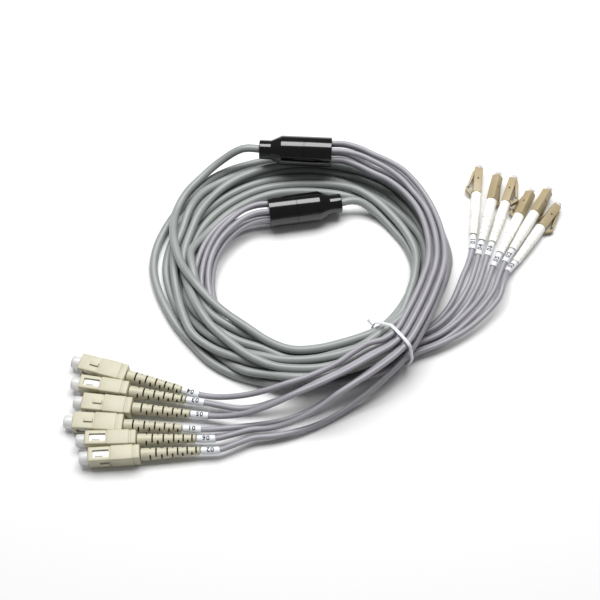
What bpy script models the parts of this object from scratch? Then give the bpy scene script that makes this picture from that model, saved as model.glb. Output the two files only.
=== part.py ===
"""Fibre breakout cable.

A round trunk cable lies in a loose flat coil. Each end of it enters the neck of a black splitter
housing, and six thin legs leave the other end of each housing: six to square push-pull connectors,
six to small latch connectors. A white wire tie holds the bundle at one place.

Metres, +Z up. The coil lies on the floor at z = 0, and the origin is on the floor under the middle
of the whole object. Places on the floor are written as pairs of millimetres.
"""

import math

import bmesh
import bpy
import numpy as np
from mathutils import Matrix, Vector

MM = 0.001

# Fits
CLEARANCE = 0.0003
STRAND_GAP = 0.0004

# Cables
TRUNK_DIAMETER = 0.0044
LEG_DIAMETER = 0.0030
TRUNK_STEP = 3.0 * TRUNK_DIAMETER
LEG_STEP = 3.0 * LEG_DIAMETER
LAY_SAMPLE = 0.002
LAY_EASE = 0.016
LEG_DROOP = 0.05
END_REACH = 0.02
CURVE_SAMPLES = 24
LAYER_PITCH = 0.0046
SINK_PARTS = 4
SINK_ROUNDS = 300
SINK_LAST_ROUNDS = 80
SINK_PUSHES = 3
SINK_FALL = 0.0003
PLAN_HOLD = 0.2
STIFFNESS = 0.2

# Splitter housings, turned, from the neck's end face back to the rear rim
SPLITTER_DIAMETER = 0.0165
NECK_DIAMETER = 0.0107
NECK_LENGTH = 0.0065
CONE_LENGTH = 0.0058
FRONT_CYLINDER_LENGTH = 0.0124
CAP_LENGTH = 0.0153
SPIGOT_DIAMETER = 0.0138
SPIGOT_LENGTH = 0.003
CABLE_SEAT_DEPTH = 0.004
LEG_SEAT_DEPTH = 0.003
LEG_CIRCLE_DIAMETER = 0.0105
RIM_BEVEL = 0.0004
LEGS_PER_SPLITTER = 6

# Square push-pull connector
SC_LENGTH = 0.025
SC_WIDTH = 0.0090
SC_HEIGHT = 0.0074
SC_WALL = 0.0008
SC_EDGE = 0.0005
SC_FRONT_LENGTH = 0.0104
SC_RIDGE = 0.0002
SC_RIM_LENGTH = 0.0030
SC_GROOVE = 0.0005
SC_WINDOW_START = 0.0022
SC_WINDOW_LENGTH = 0.0080
SC_WINDOW_HEIGHT = 0.0038
SC_KEY_START = 0.0056
SC_KEY_LENGTH = 0.0046
SC_KEY_WIDTH = 0.0022
SC_KEY_HEIGHT = 0.0009
SC_INNER_SETBACK = 0.0008
SC_FERRULE_DIAMETER = 0.0025
SC_BORE_DEPTH = 0.0085
SC_CAP_KNOB_DIAMETER = 0.0066
SC_CAP_KNOB_LENGTH = 0.0046
SC_CAP_SLEEVE_LENGTH = 0.0060
SC_CAP_WALL = 0.00035
SC_BOOT_LENGTH = 0.0287
SC_BOOT_FRONT_DIAMETER = 0.0060
SC_BOOT_REAR_DIAMETER = 0.0041
SC_BOOT_COLLAR_LENGTH = 0.0030

# Small latch connector
LC_LENGTH = 0.0172
LC_WIDTH = 0.0046
LC_EDGE = 0.0003
LC_NOSE = 0.0012
LC_BORE_DIAMETER = 0.0032
LC_BORE_DEPTH = 0.0060
LC_FERRULE_DIAMETER = 0.00125
LC_LATCH_WIDTH = 0.0024
LC_LATCH_THICKNESS = 0.0011
LC_LATCH_ROOT = 0.0020
LC_LATCH_TIP = 0.0134
LC_LATCH_RISE = 0.0034
LC_TRIGGER_THICKNESS = 0.0012
LC_CAP_KNOB_DIAMETER = 0.0038
LC_CAP_KNOB_LENGTH = 0.0023
LC_CAP_SLEEVE_LENGTH = 0.0035
LC_CAP_WALL = 0.00035
LC_BOOT_LENGTH = 0.0280
LC_BOOT_FRONT_DIAMETER = 0.0058
LC_BOOT_REAR_DIAMETER = 0.0044
LC_BOOT_COLLAR_LENGTH = 0.0040

# Wire tie, a flat band around the bundle, and its twisted tails
TIE_WIDTH = 0.0019
TIE_THICKNESS = 0.0008
TIE_TAIL_LENGTH = 0.0055
TIE_TAIL_WIDTH = 0.0013
TIE_GRIP = 0.006
TIE_SPARE = 0.01
TIE_SIDES = 24

TURNED_SIDES = 24
SMALL_TURNED_SIDES = 12

# Layout on the floor, in millimetres
LAYOUT_ORIGIN = (13.93, -0.13)
COIL_CENTRE = (0.0, 22.0)

# Splitters: neck end, heading from the neck to the rear in degrees
UPPER_NECK, UPPER_HEADING = (-22.6, 87.6), -3.0
LOWER_NECK, LOWER_HEADING = (22.6, 57.3), -170.9

# The coil, turn by turn from the upper splitter to the lower one. Each pair is the trunk's distance
# from the coil's centre and its layer, at each eighth of a turn, anticlockwise from the right. Where
# the trunk crosses itself, the stretch of the higher layer lies on the other. The first turn starts
# at the upper splitter's neck and the last ends at the lower splitter's, so they have fewer eighths.
FIRST_TURN = {
    124: (76.4, 9), 138: (76.8, 9), 155: (74.6, 9), 180: (64.5, 9), 203: (56.8, 9), 225: (55.4, 9),
    270: (58.5, 9), 315: (63.3, 9),
}
WHOLE_TURNS = (
    ((63.5, 8), (56.0, 8), (53.2, 5), (55.9, 2), (61.4, 2), (61.0, 2), (62.4, 2), (63.9, 2)),
    ((67.9, 5), (60.6, 5), (57.7, 4), (60.4, 3), (66.0, 3), (65.9, 1), (65.4, 4), (66.4, 3)),
    ((72.5, 6), (70.6, 6), (64.0, 6), (64.0, 6), (61.8, 6), (64.2, 6), (69.9, 6), (70.0, 6)),
    ((76.2, 5.5), (75.5, 5.5), (67.0, 5.5), (69.5, 5.5), (66.8, 5.5), (68.3, 4), (66.9, 3), (69.8, 4)),
    ((71.4, 2), (69.2, 2), (62.3, 2), (66.4, 2), (72.0, 5), (70.5, 1), (71.4, 1), (73.0, 5)),
    ((77.0, 1), (78.0, 1), (71.6, 1), (74.5, 1), (79.0, 1), (73.5, 1), (71.0, 1), (73.2, 1)),
    ((67.0, 1), (56.9, 1), (48.7, 1), (52.0, 1), (57.0, 1), (57.0, 1), (57.9, 1), (61.5, 1)),
)
LAST_TURN = {0: (62.6, 1), 30: (55.0, 1)}
STATION_DEGREES = 45

# Connectors: front face centre, heading from the front to the rear, roll about it in degrees
SC_PLACES = (
    ((-111.7, -40.2), -16.0, 0.0),
    ((-110.6, -52.4), -9.3, -90.0),
    ((-108.6, -62.6), -6.3, 0.0),
    ((-112.3, -73.0), -3.5, 0.0),
    ((-105.1, -83.4), 1.2, 90.0),
    ((-102.7, -92.4), 4.0, 90.0),
)
LC_PLACES = (
    ((101.3, 84.6), -98.5, 90.0),
    ((111.0, 77.3), -106.0, -145.0),
    ((120.5, 77.3), -110.5, -72.0),
    ((128.6, 66.8), -117.2, 125.0),
    ((138.0, 66.8), -121.0, -150.0),
    ((142.4, 58.6), -125.5, -110.0),
)

# The flat ribbon that the upper splitter's legs lie in, from the housing clockwise to the tie and a
# little past it: places of its middle, and how far apart the legs lie in it
UPPER_RIBBON = (
    (38.0, 79.0, 2.1), (55.0, 69.0, 2.1), (67.5, 51.0, 2.1), (72.6, 31.0, 2.1), (72.4, 13.0, 2.1),
    (67.4, -3.0, 2.1), (60.8, -18.0, 2.1), (50.3, -36.0, 2.2),
)
# Then each leg's own way to its connector
UPPER_FANS = (
    ((32.5, -38.5), (17.0, -48.8), (0.5, -55.6), (-14.6, -59.5), (-30.1, -60.8)),
    ((36.0, -42.0), (18.0, -53.0), (0.0, -60.5), (-16.0, -64.3), (-31.0, -65.8)),
    ((34.0, -46.0), (20.0, -54.5), (4.0, -62.5), (-12.0, -68.5), (-28.0, -71.0)),
    ((37.0, -49.0), (22.0, -58.0), (5.0, -66.5), (-12.0, -72.5), (-30.0, -75.5)),
    ((40.5, -49.5), (24.5, -60.5), (7.0, -70.5), (-10.0, -76.0), (-26.0, -78.0)),
    ((41.5, -52.5), (25.5, -64.0), (7.0, -74.5), (-10.0, -80.0), (-26.0, -82.5)),
)

# The lower splitter's legs, from the housing anticlockwise under the coil and out past the tie
LOWER_RIBBON = (
    (-37.0, 42.5, 2.1), (-46.0, 31.0, 2.0), (-51.0, 15.0, 1.9), (-49.5, -4.0, 1.9), (-40.0, -22.0, 2.1),
    (-22.0, -36.5, 2.8), (0.0, -42.5, 3.2), (20.0, -43.0, 3.2), (40.0, -38.0, 3.0), (54.5, -30.5, 2.4),
)
LOWER_FANS = (
    ((68.0, -17.5), (79.5, -4.0), (87.5, 14.0)),
    ((70.0, -19.5), (82.0, -7.0), (91.0, 9.0)),
    ((71.0, -22.0), (84.0, -10.0), (94.5, 7.0)),
    ((72.5, -23.5), (86.0, -12.0), (97.5, 3.0)),
    ((73.5, -26.0), (88.5, -14.5), (101.5, 1.0)),
    ((75.0, -28.0), (91.5, -17.0), (105.5, -1.0)),
)

# Which hole of the splitter's circle each leg leaves by, counted from its side
UPPER_HOLES = (3, 4, 2, 5, 1, 0)
LOWER_HOLES = (0, 1, 5, 2, 4, 3)

# Tie: the line on the floor that it crosses the bundle on
TIE_INNER, TIE_OUTER = (41.5, -23.5), (55.5, -40.5)


def clear_scene():
    """Removes what the new file holds."""
    for item in list(bpy.data.objects):
        bpy.data.objects.remove(item, do_unlink=True)


clear_scene()


def placed(point_mm, height):
    """A place on the floor in millimetres, at a height in metres, as a point in metres."""
    return Vector((
        (point_mm[0] - LAYOUT_ORIGIN[0]) * MM,
        (point_mm[1] - LAYOUT_ORIGIN[1]) * MM,
        height,
    ))


def plan_of(points_mm):
    """Places on the floor as rows of metres."""
    return (np.array(points_mm, dtype=float) - np.array(LAYOUT_ORIGIN)) * MM


def make_material(name, colour, roughness, metallic=0.0):
    material = bpy.data.materials.new(name)
    material.use_nodes = True
    shader = material.node_tree.nodes["Principled BSDF"]
    shader.inputs["Base Color"].default_value = (*colour, 1.0)
    shader.inputs["Roughness"].default_value = roughness
    shader.inputs["Metallic"].default_value = metallic
    return material


PARTS = bpy.data.collections.new("fibre_breakout_cable")
CUTTERS = bpy.data.collections.new("cutters")
bpy.context.scene.collection.children.link(PARTS)
bpy.context.scene.collection.children.link(CUTTERS)

MATERIALS = {
    "trunk_sheath": make_material("trunk_sheath", (0.44, 0.46, 0.45), 0.45),
    "leg_sheath": make_material("leg_sheath", (0.44, 0.43, 0.47), 0.45),
    "black_anodised": make_material("black_anodised", (0.012, 0.012, 0.013), 0.25, 0.6),
    "sc_cream": make_material("sc_cream", (0.72, 0.67, 0.47), 0.4),
    "plug_white": make_material("plug_white", (0.82, 0.82, 0.78), 0.4),
    "lc_khaki": make_material("lc_khaki", (0.50, 0.41, 0.22), 0.4),
    "boot_white": make_material("boot_white", (0.85, 0.84, 0.79), 0.5),
    "clear_cap": make_material("clear_cap", (0.88, 0.88, 0.86), 0.3),
    "tie_white": make_material("tie_white", (0.82, 0.82, 0.83), 0.4),
}


def add_object(name, data, material=None, collection=PARTS, parent=None):
    thing = bpy.data.objects.new(name, data)
    collection.objects.link(thing)
    if material:
        data.materials.append(MATERIALS[material])
    thing.parent = parent
    return thing


def mesh_from(name, shape):
    """A mesh made of a bmesh, which is freed."""
    mesh = bpy.data.meshes.new(name)
    bmesh.ops.recalc_face_normals(shape, faces=shape.faces)
    shape.to_mesh(mesh)
    shape.free()
    return mesh


def box_shape(low, high):
    """A box between two corners, as a bmesh."""
    shape = bmesh.new()
    size = [b - a for a, b in zip(low, high)]
    middle = [(a + b) / 2 for a, b in zip(low, high)]
    bmesh.ops.create_cube(shape, size=1.0)
    bmesh.ops.scale(shape, vec=size, verts=shape.verts)
    bmesh.ops.translate(shape, vec=middle, verts=shape.verts)
    return shape


def bevel_along_x(shape, width):
    """Cuts the long edges of a box off, one flat on each."""
    edges = [e for e in shape.edges if abs((e.verts[0].co - e.verts[1].co).normalized().x) > 0.9]
    bmesh.ops.bevel(shape, geom=edges, offset=width, segments=1, affect="EDGES")


def cutter(name, mesh, parent):
    thing = add_object(name, mesh, None, CUTTERS, parent)
    thing.hide_render = True
    thing.display_type = "WIRE"
    return thing


def combine(target, operation, other):
    modifier = target.modifiers.new(other.name, "BOOLEAN")
    modifier.operation = operation
    modifier.object = other


def turned_mesh(name, profile, sides):
    """A mesh turned about X from (x, radius) pairs that run from the axis out and back to it."""
    shape = bmesh.new()
    corners = [shape.verts.new((x, 0.0, radius)) for x, radius in reversed(profile)]
    for first, second in zip(corners, corners[1:]):
        shape.edges.new((first, second))
    mesh = bpy.data.meshes.new(name)
    shape.to_mesh(mesh)
    shape.free()
    return mesh


def turned(name, profile, material, parent, sides=TURNED_SIDES, collection=PARTS):
    """A turned piece: the profile runs from the front end of the axis over the outside to the rear."""
    mesh = turned_mesh(name, profile, sides)
    thing = add_object(name, mesh, material, collection, parent)
    screw = thing.modifiers.new("turn", "SCREW")
    screw.axis = "X"
    screw.angle = 2 * math.pi
    screw.steps = sides
    screw.render_steps = sides
    screw.use_merge_vertices = True
    screw.merge_threshold = 0.00001
    screw.use_smooth_shade = True
    return thing


def frame_empty(name, point, heading, roll=0.0, pitch=0.0):
    """An empty whose X axis points along the heading, in degrees, on the floor's plane."""
    empty = bpy.data.objects.new(name, None)
    PARTS.objects.link(empty)
    turn = Matrix.Rotation(math.radians(heading), 4, "Z")
    tilt = Matrix.Rotation(math.radians(pitch), 4, "Y")
    spin = Matrix.Rotation(math.radians(roll), 4, "X")
    empty.matrix_world = Matrix.Translation(point) @ turn @ tilt @ spin
    return empty


def smooth_plan(points, spacing):
    """Evenly spaced places on one smooth curve through the given ones (centripetal Catmull-Rom).

    Also returns where the given ones come, counted in spaces from the start.
    """
    guides = np.vstack([2 * points[0] - points[1], points, 2 * points[-1] - points[-2]])
    dense = []
    for before, start, end, after in zip(guides, guides[1:], guides[2:], guides[3:]):
        t0 = 0.0
        t1 = t0 + math.sqrt(np.linalg.norm(start - before))
        t2 = t1 + math.sqrt(np.linalg.norm(end - start))
        t3 = t2 + math.sqrt(np.linalg.norm(after - end))
        for t in np.linspace(t1, t2, CURVE_SAMPLES, endpoint=False):
            a1 = (t1 - t) / (t1 - t0) * before + (t - t0) / (t1 - t0) * start
            a2 = (t2 - t) / (t2 - t1) * start + (t - t1) / (t2 - t1) * end
            a3 = (t3 - t) / (t3 - t2) * end + (t - t2) / (t3 - t2) * after
            b1 = (t2 - t) / (t2 - t0) * a1 + (t - t0) / (t2 - t0) * a2
            b2 = (t3 - t) / (t3 - t1) * a2 + (t - t1) / (t3 - t1) * a3
            dense.append((t2 - t) / (t2 - t1) * b1 + (t - t1) / (t2 - t1) * b2)
    dense.append(points[-1])
    dense = np.array(dense)
    along = np.concatenate([[0.0], np.cumsum(np.linalg.norm(np.diff(dense, axis=0), axis=1))])
    count = max(2, round(along[-1] / spacing))
    marks = np.linspace(0.0, along[-1], count + 1)
    corners = np.column_stack([np.interp(marks, along, dense[:, axis]) for axis in (0, 1)])
    return corners, along[::CURVE_SAMPLES] / along[-1] * count


def offset_left(ribbon, share):
    """A ribbon's middle moved to the left of the way it runs, by a share of its spacing at each place."""
    points = np.array(ribbon)[:, :2]
    spacing = np.array(ribbon)[:, 2:]
    ways = np.gradient(points, axis=0)
    ways /= np.linalg.norm(ways, axis=1)[:, None]
    return points + share * spacing * np.column_stack([-ways[:, 1], ways[:, 0]])


def spread(values, reach, pick):
    """Each value replaced by pick of those within reach samples of it."""
    padded = np.pad(values, reach, mode="edge")
    windows = np.lib.stride_tricks.sliding_window_view(padded, 2 * reach + 1)
    return pick(windows, axis=1)


class Bundle:
    """What already lies on the floor: each cord as samples of its axis with its radius."""

    def __init__(self):
        self.places = np.zeros((0, 2))
        self.heights = np.zeros(0)
        self.radii = np.zeros(0)

    def add(self, places, heights, radius):
        self.places = np.vstack([self.places, places])
        self.heights = np.concatenate([self.heights, heights])
        self.radii = np.concatenate([self.radii, np.full(len(heights), radius)])

    def rest(self, places, radius):
        """The least height of an axis at each place that clears all that lies there."""
        least = floor_height(places) + radius
        if not len(self.heights):
            return least
        reach = radius + self.radii + STRAND_GAP
        for index, place in enumerate(places):
            apart = np.linalg.norm(self.places - place, axis=1)
            near = apart < reach
            if near.any():
                lift = np.sqrt(reach[near] ** 2 - apart[near] ** 2)
                least[index] = max(least[index], (self.heights[near] + lift).max())
        return least


def floor_height(places):
    """Zero, and the tie's thickness where it passes under the bundle."""
    inner, outer = plan_of([TIE_INNER, TIE_OUTER])
    way = (outer - inner) / np.linalg.norm(outer - inner)
    offsets = places - inner
    along = offsets @ way
    across = np.abs(offsets @ np.array([-way[1], way[0]]))
    under = (across < TIE_GRIP / 2) & (along > -TIE_GRIP)
    under &= along < np.linalg.norm(outer - inner) + TIE_GRIP
    return np.where(under, TIE_THICKNESS + CLEARANCE, 0.0)


def lay(plan, radius, ends, bundle, spacing):
    """Lays a cord along a plan on top of the bundle, and adds it there.

    ends holds the heights of its two ends. Returns the points of its axis.
    """
    corners, _ = smooth_plan(plan, spacing)
    parts = max(2, round(spacing / LAY_SAMPLE))
    marks = np.arange((len(corners) - 1) * parts + 1) / parts
    samples = np.column_stack([np.interp(marks, np.arange(len(corners)), corners[:, k]) for k in (0, 1)])
    along = marks * spacing
    least = bundle.rest(samples, radius)
    for height, away in ((ends[0], along), (ends[1], along[::-1])):
        share = np.clip(away / LEG_DROOP, 0.0, 1.0)
        least = np.maximum(least, height + (radius - height) * (3 * share ** 2 - 2 * share ** 3))
    ease = round(LAY_EASE / LAY_SAMPLE)
    eased = spread(spread(least, ease, np.max), ease, np.mean)
    tops = settle_ends(spread(eased, parts, np.max)[::parts], ends, spacing)
    heights = np.interp(marks, np.arange(len(tops)), tops)
    bundle.add(samples, heights, radius)
    return np.column_stack([corners, tops])


def settle_ends(heights, ends, spacing):
    """The heights led to the exact heights of the two ends."""
    for height, away in ((ends[0], np.arange(len(heights))), (ends[1], np.arange(len(heights))[::-1])):
        share = np.clip(away * spacing / END_REACH, 0.0, 1.0)
        share = 3 * share ** 2 - 2 * share ** 3
        heights = height + (heights - height) * share
    return heights


def near_pairs(places, others, reach, skip=0):
    """Pairs of places nearer than a reach in plan, leaving out those less than skip places apart."""
    first, second = [], []
    for index, place in enumerate(places):
        start = index + skip if skip else 0
        near = start + np.nonzero(np.linalg.norm(others[start:] - place, axis=1) < reach)[0]
        first.extend([index] * len(near))
        second.extend(near)
    return np.array(first, dtype=int), np.array(second, dtype=int)


def parted(gap, reach):
    """How far each pair has to move apart to be its reach apart, as a vector."""
    apart = np.maximum(np.linalg.norm(gap, axis=1), 1e-6)
    return gap * (np.maximum(reach - apart, 0.0) / apart)[:, None]


def sink(plan, layers, ends, bundle):
    """Lets the trunk sink from its layers until it lies on the bundle and on its own lower turns.

    It keeps its stiffness and its plan while strands that meet push each other aside. Returns the
    points of its axis.
    """
    corners, marks_at = smooth_plan(plan, TRUNK_STEP)
    radius = TRUNK_DIAMETER / 2
    count = len(corners)
    levels = np.interp(np.arange(count), marks_at, layers)
    points = np.column_stack([corners, bundle.rest(corners, radius) + (levels - 1) * LAYER_PITCH])
    pinned = [(0, ends[0]), (1, ends[0]), (count - 2, ends[1]), (count - 1, ends[1])]
    for index, height in pinned:
        points[index, 2] = height
    planned = points.copy()
    planned_bends = (corners[:-2] + corners[2:]) / 2 - corners[1:-1]
    marks = np.arange((count - 1) * SINK_PARTS + 1) / SINK_PARTS
    weights = np.maximum(1.0 - np.abs(marks[:, None] - np.arange(count)), 0.0)
    shares = weights.sum(axis=0)[:, None]
    samples = weights @ points
    skip = 4 * SINK_PARTS
    upper, lower = near_pairs(samples[:, :2], samples[:, :2], 3 * TRUNK_DIAMETER, skip)
    over, under = near_pairs(samples[:, :2], bundle.places, 3 * TRUNK_DIAMETER)
    still = np.column_stack([bundle.places, bundle.heights])[under]
    still_reach = radius + bundle.radii[under] + STRAND_GAP
    for number in range(SINK_ROUNDS):
        if number < SINK_ROUNDS - SINK_LAST_ROUNDS:
            points[:, 2] -= SINK_FALL
            points[:, :2] += PLAN_HOLD * (planned[:, :2] - points[:, :2])
            bends = (points[:-2] + points[2:]) / 2 - points[1:-1]
            bends[:, :2] -= planned_bends
            points[1:-1] += STIFFNESS * bends
        for _ in range(SINK_PUSHES):
            samples = weights @ points
            move = np.zeros_like(samples)
            push = parted(samples[upper] - samples[lower], 2 * radius + STRAND_GAP) / 2
            np.add.at(move, upper, push)
            np.add.at(move, lower, -push)
            np.add.at(move, over, parted(samples[over] - still, still_reach))
            move[:, 2] += np.maximum(radius + floor_height(samples[:, :2]) - samples[:, 2], 0.0)
            points += weights.T @ move / shares
            points[:, 2] = np.maximum(points[:, 2], radius)
            for index, height in pinned:
                points[index] = (*corners[index], height)
    samples = weights @ points
    bundle.add(samples[:, :2], samples[:, 2], radius)
    return points


def cord(name, points, diameter, material):
    """A round cord along points, as a curve with filled ends."""
    curve = bpy.data.curves.new(name, "CURVE")
    curve.dimensions = "3D"
    curve.bevel_depth = diameter / 2
    curve.bevel_resolution = 2
    curve.use_fill_caps = True
    spline = curve.splines.new("POLY")
    spline.points.add(len(points) - 1)
    for target, point in zip(spline.points, points):
        target.co = (*point, 1.0)
    spline.use_smooth = True
    return add_object(name, curve, material)


def build_splitter(name, neck_mm, heading, height):
    """A splitter body and its rear cap; returns the frame they stand in."""
    frame = frame_empty(f"{name}_frame", placed(neck_mm, height), heading)
    neck, outer = NECK_DIAMETER / 2, SPLITTER_DIAMETER / 2
    cone_end = NECK_LENGTH + CONE_LENGTH
    seam = cone_end + FRONT_CYLINDER_LENGTH
    seat = TRUNK_DIAMETER / 2 + CLEARANCE
    spigot = SPIGOT_DIAMETER / 2
    turned(f"{name}_body", [
        (CABLE_SEAT_DEPTH, 0.0), (CABLE_SEAT_DEPTH, seat), (0.0, seat), (0.0, neck - RIM_BEVEL),
        (RIM_BEVEL, neck), (NECK_LENGTH, neck), (cone_end, outer), (seam, outer), (seam, spigot),
        (seam + SPIGOT_LENGTH, spigot), (seam + SPIGOT_LENGTH, 0.0),
    ], "black_anodised", frame)
    start = seam + CLEARANCE
    recess = spigot + CLEARANCE
    floor = seam + SPIGOT_LENGTH + CLEARANCE
    rear = start + CAP_LENGTH
    cap = turned(f"{name}_rear_cap", [
        (floor, 0.0), (floor, recess), (start, recess), (start, outer), (rear - RIM_BEVEL, outer),
        (rear, outer - RIM_BEVEL), (rear, 0.0),
    ], "black_anodised", frame)
    for index, (y, z) in enumerate(leg_circle()):
        hole = turned(f"{name}_leg_hole_{index + 1}", [
            (rear - LEG_SEAT_DEPTH, 0.0), (rear - LEG_SEAT_DEPTH, LEG_DIAMETER / 2 + CLEARANCE),
            (rear + MM, LEG_DIAMETER / 2 + CLEARANCE), (rear + MM, 0.0),
        ], None, frame, SMALL_TURNED_SIDES, CUTTERS)
        hole.location = (0.0, y, z)
        hole.hide_render = True
        hole.display_type = "WIRE"
        combine(cap, "DIFFERENCE", hole)
    return frame, rear


def leg_circle():
    """The legs' places round a splitter's axis: Y to the side, Z up."""
    radius = LEG_CIRCLE_DIAMETER / 2
    turns = [math.radians(60 * step) for step in range(LEGS_PER_SPLITTER)]
    return [(radius * math.cos(turn), radius * math.sin(turn)) for turn in turns]


def band_box(shape, start, end, grow):
    """Stands the middle of a box out by grow between two places along X."""
    for x in (start, start + MM / 100, end - MM / 100, end):
        geometry = shape.verts[:] + shape.edges[:] + shape.faces[:]
        bmesh.ops.bisect_plane(shape, geom=geometry, plane_co=(x, 0, 0), plane_no=(1, 0, 0))
    inside = [v for v in shape.verts if start + MM / 200 < v.co.x < end - MM / 200]
    for vert in inside:
        vert.co.y += math.copysign(grow, vert.co.y)
        vert.co.z += math.copysign(grow, vert.co.z)


def build_sc(name, point_mm, heading, roll):
    """A square push-pull connector: outer housing, inner plug body, dust cap and boot."""
    standing = SC_WIDTH / 2 if roll else SC_HEIGHT / 2
    height = standing + SC_RIDGE
    frame = frame_empty(f"{name}_frame", placed(point_mm, height), heading, roll)
    half_y, half_z = SC_WIDTH / 2, SC_HEIGHT / 2
    shape = box_shape((0.0, -half_y, -half_z), (SC_LENGTH, half_y, half_z))
    bevel_along_x(shape, SC_EDGE)
    grip_end = SC_LENGTH - SC_RIM_LENGTH
    band_box(shape, SC_FRONT_LENGTH, grip_end - SC_GROOVE, SC_RIDGE)
    housing = add_object(f"{name}_housing", mesh_from(name, shape), "sc_cream", parent=frame)
    key = cutter(f"{name}_key", mesh_from("key", box_shape(
        (SC_KEY_START, -SC_KEY_WIDTH / 2, half_z - SC_WALL / 2),
        (SC_KEY_START + SC_KEY_LENGTH, SC_KEY_WIDTH / 2, half_z + SC_KEY_HEIGHT),
    )), frame)
    bore = cutter(f"{name}_bore", mesh_from("bore", box_shape(
        (-MM, -half_y + SC_WALL, -half_z + SC_WALL), (SC_LENGTH + MM, half_y - SC_WALL, half_z - SC_WALL),
    )), frame)
    window = cutter(f"{name}_window", mesh_from("window", box_shape(
        (SC_WINDOW_START, -half_y - MM, -SC_WINDOW_HEIGHT / 2),
        (SC_WINDOW_START + SC_WINDOW_LENGTH, half_y + MM, SC_WINDOW_HEIGHT / 2),
    )), frame)
    combine(housing, "UNION", key)
    combine(housing, "DIFFERENCE", bore)
    combine(housing, "DIFFERENCE", window)

    inner_y = half_y - SC_WALL - CLEARANCE
    inner_z = half_z - SC_WALL - CLEARANCE
    inner = add_object(f"{name}_plug_body", mesh_from("inner", box_shape(
        (SC_INNER_SETBACK, -inner_y, -inner_z), (SC_LENGTH - CLEARANCE, inner_y, inner_z),
    )), "plug_white", parent=frame)
    ferrule = SC_FERRULE_DIAMETER / 2
    sleeve_inner = ferrule + CLEARANCE
    sleeve_outer = sleeve_inner + SC_CAP_WALL
    ring = ring_cutter(f"{name}_ferrule_ring", ferrule, sleeve_outer + CLEARANCE, -MM,
                       SC_INNER_SETBACK + SC_BORE_DEPTH, frame)
    combine(inner, "DIFFERENCE", ring)
    front = SC_INNER_SETBACK + SC_FERRULE_DIAMETER / 4
    trim = ring_cutter(f"{name}_ferrule_trim", 0.0, sleeve_outer + CLEARANCE, -2 * MM, front + MM, frame)
    combine(inner, "DIFFERENCE", trim)

    knob = SC_CAP_KNOB_DIAMETER / 2
    cap_shape(f"{name}_dust_cap", knob, SC_CAP_KNOB_LENGTH, sleeve_inner, sleeve_outer,
              SC_CAP_SLEEVE_LENGTH, frame)
    boot_shape(f"{name}_boot", SC_LENGTH + CLEARANCE, SC_BOOT_LENGTH, SC_BOOT_FRONT_DIAMETER,
               SC_BOOT_REAR_DIAMETER, SC_BOOT_COLLAR_LENGTH, "sc_cream", frame)
    return frame, SC_LENGTH + CLEARANCE + SC_BOOT_LENGTH, height


def ring_cutter(name, inner, outer, start, end, frame):
    """A turned cutter that takes a ring out, and leaves what is within its inner radius."""
    profile = [(start, 0.0), (start, outer), (end, outer), (end, 0.0)]
    if inner:
        profile = [(start, inner), (start, outer), (end, outer), (end, inner), (start, inner)]
    thing = turned(name, profile, None, frame, SMALL_TURNED_SIDES, CUTTERS)
    thing.hide_render = True
    thing.display_type = "WIRE"
    return thing


def cap_shape(name, knob, knob_length, sleeve_inner, sleeve_outer, sleeve_length, frame):
    """A dust cap: a closed round knob before the front face, and a sleeve over the ferrule."""
    back = -CLEARANCE
    tip = back - knob_length
    turned(name, [
        (tip, 0.0), (tip, knob * 0.8), (tip + knob * 0.2, knob), (back, knob), (back, sleeve_outer),
        (sleeve_length, sleeve_outer), (sleeve_length, sleeve_inner), (tip + knob * 0.6, sleeve_inner),
        (tip + knob * 0.6, 0.0),
    ], "clear_cap", frame, SMALL_TURNED_SIDES)


def boot_shape(name, start, length, front, rear, collar, material, frame):
    """A boot: a plain collar and a long taper down to the leg."""
    turned(name, [
        (start, 0.0), (start, front / 2), (start + collar, front / 2), (start + length, rear / 2),
        (start + length, 0.0),
    ], material, frame, SMALL_TURNED_SIDES)


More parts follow.
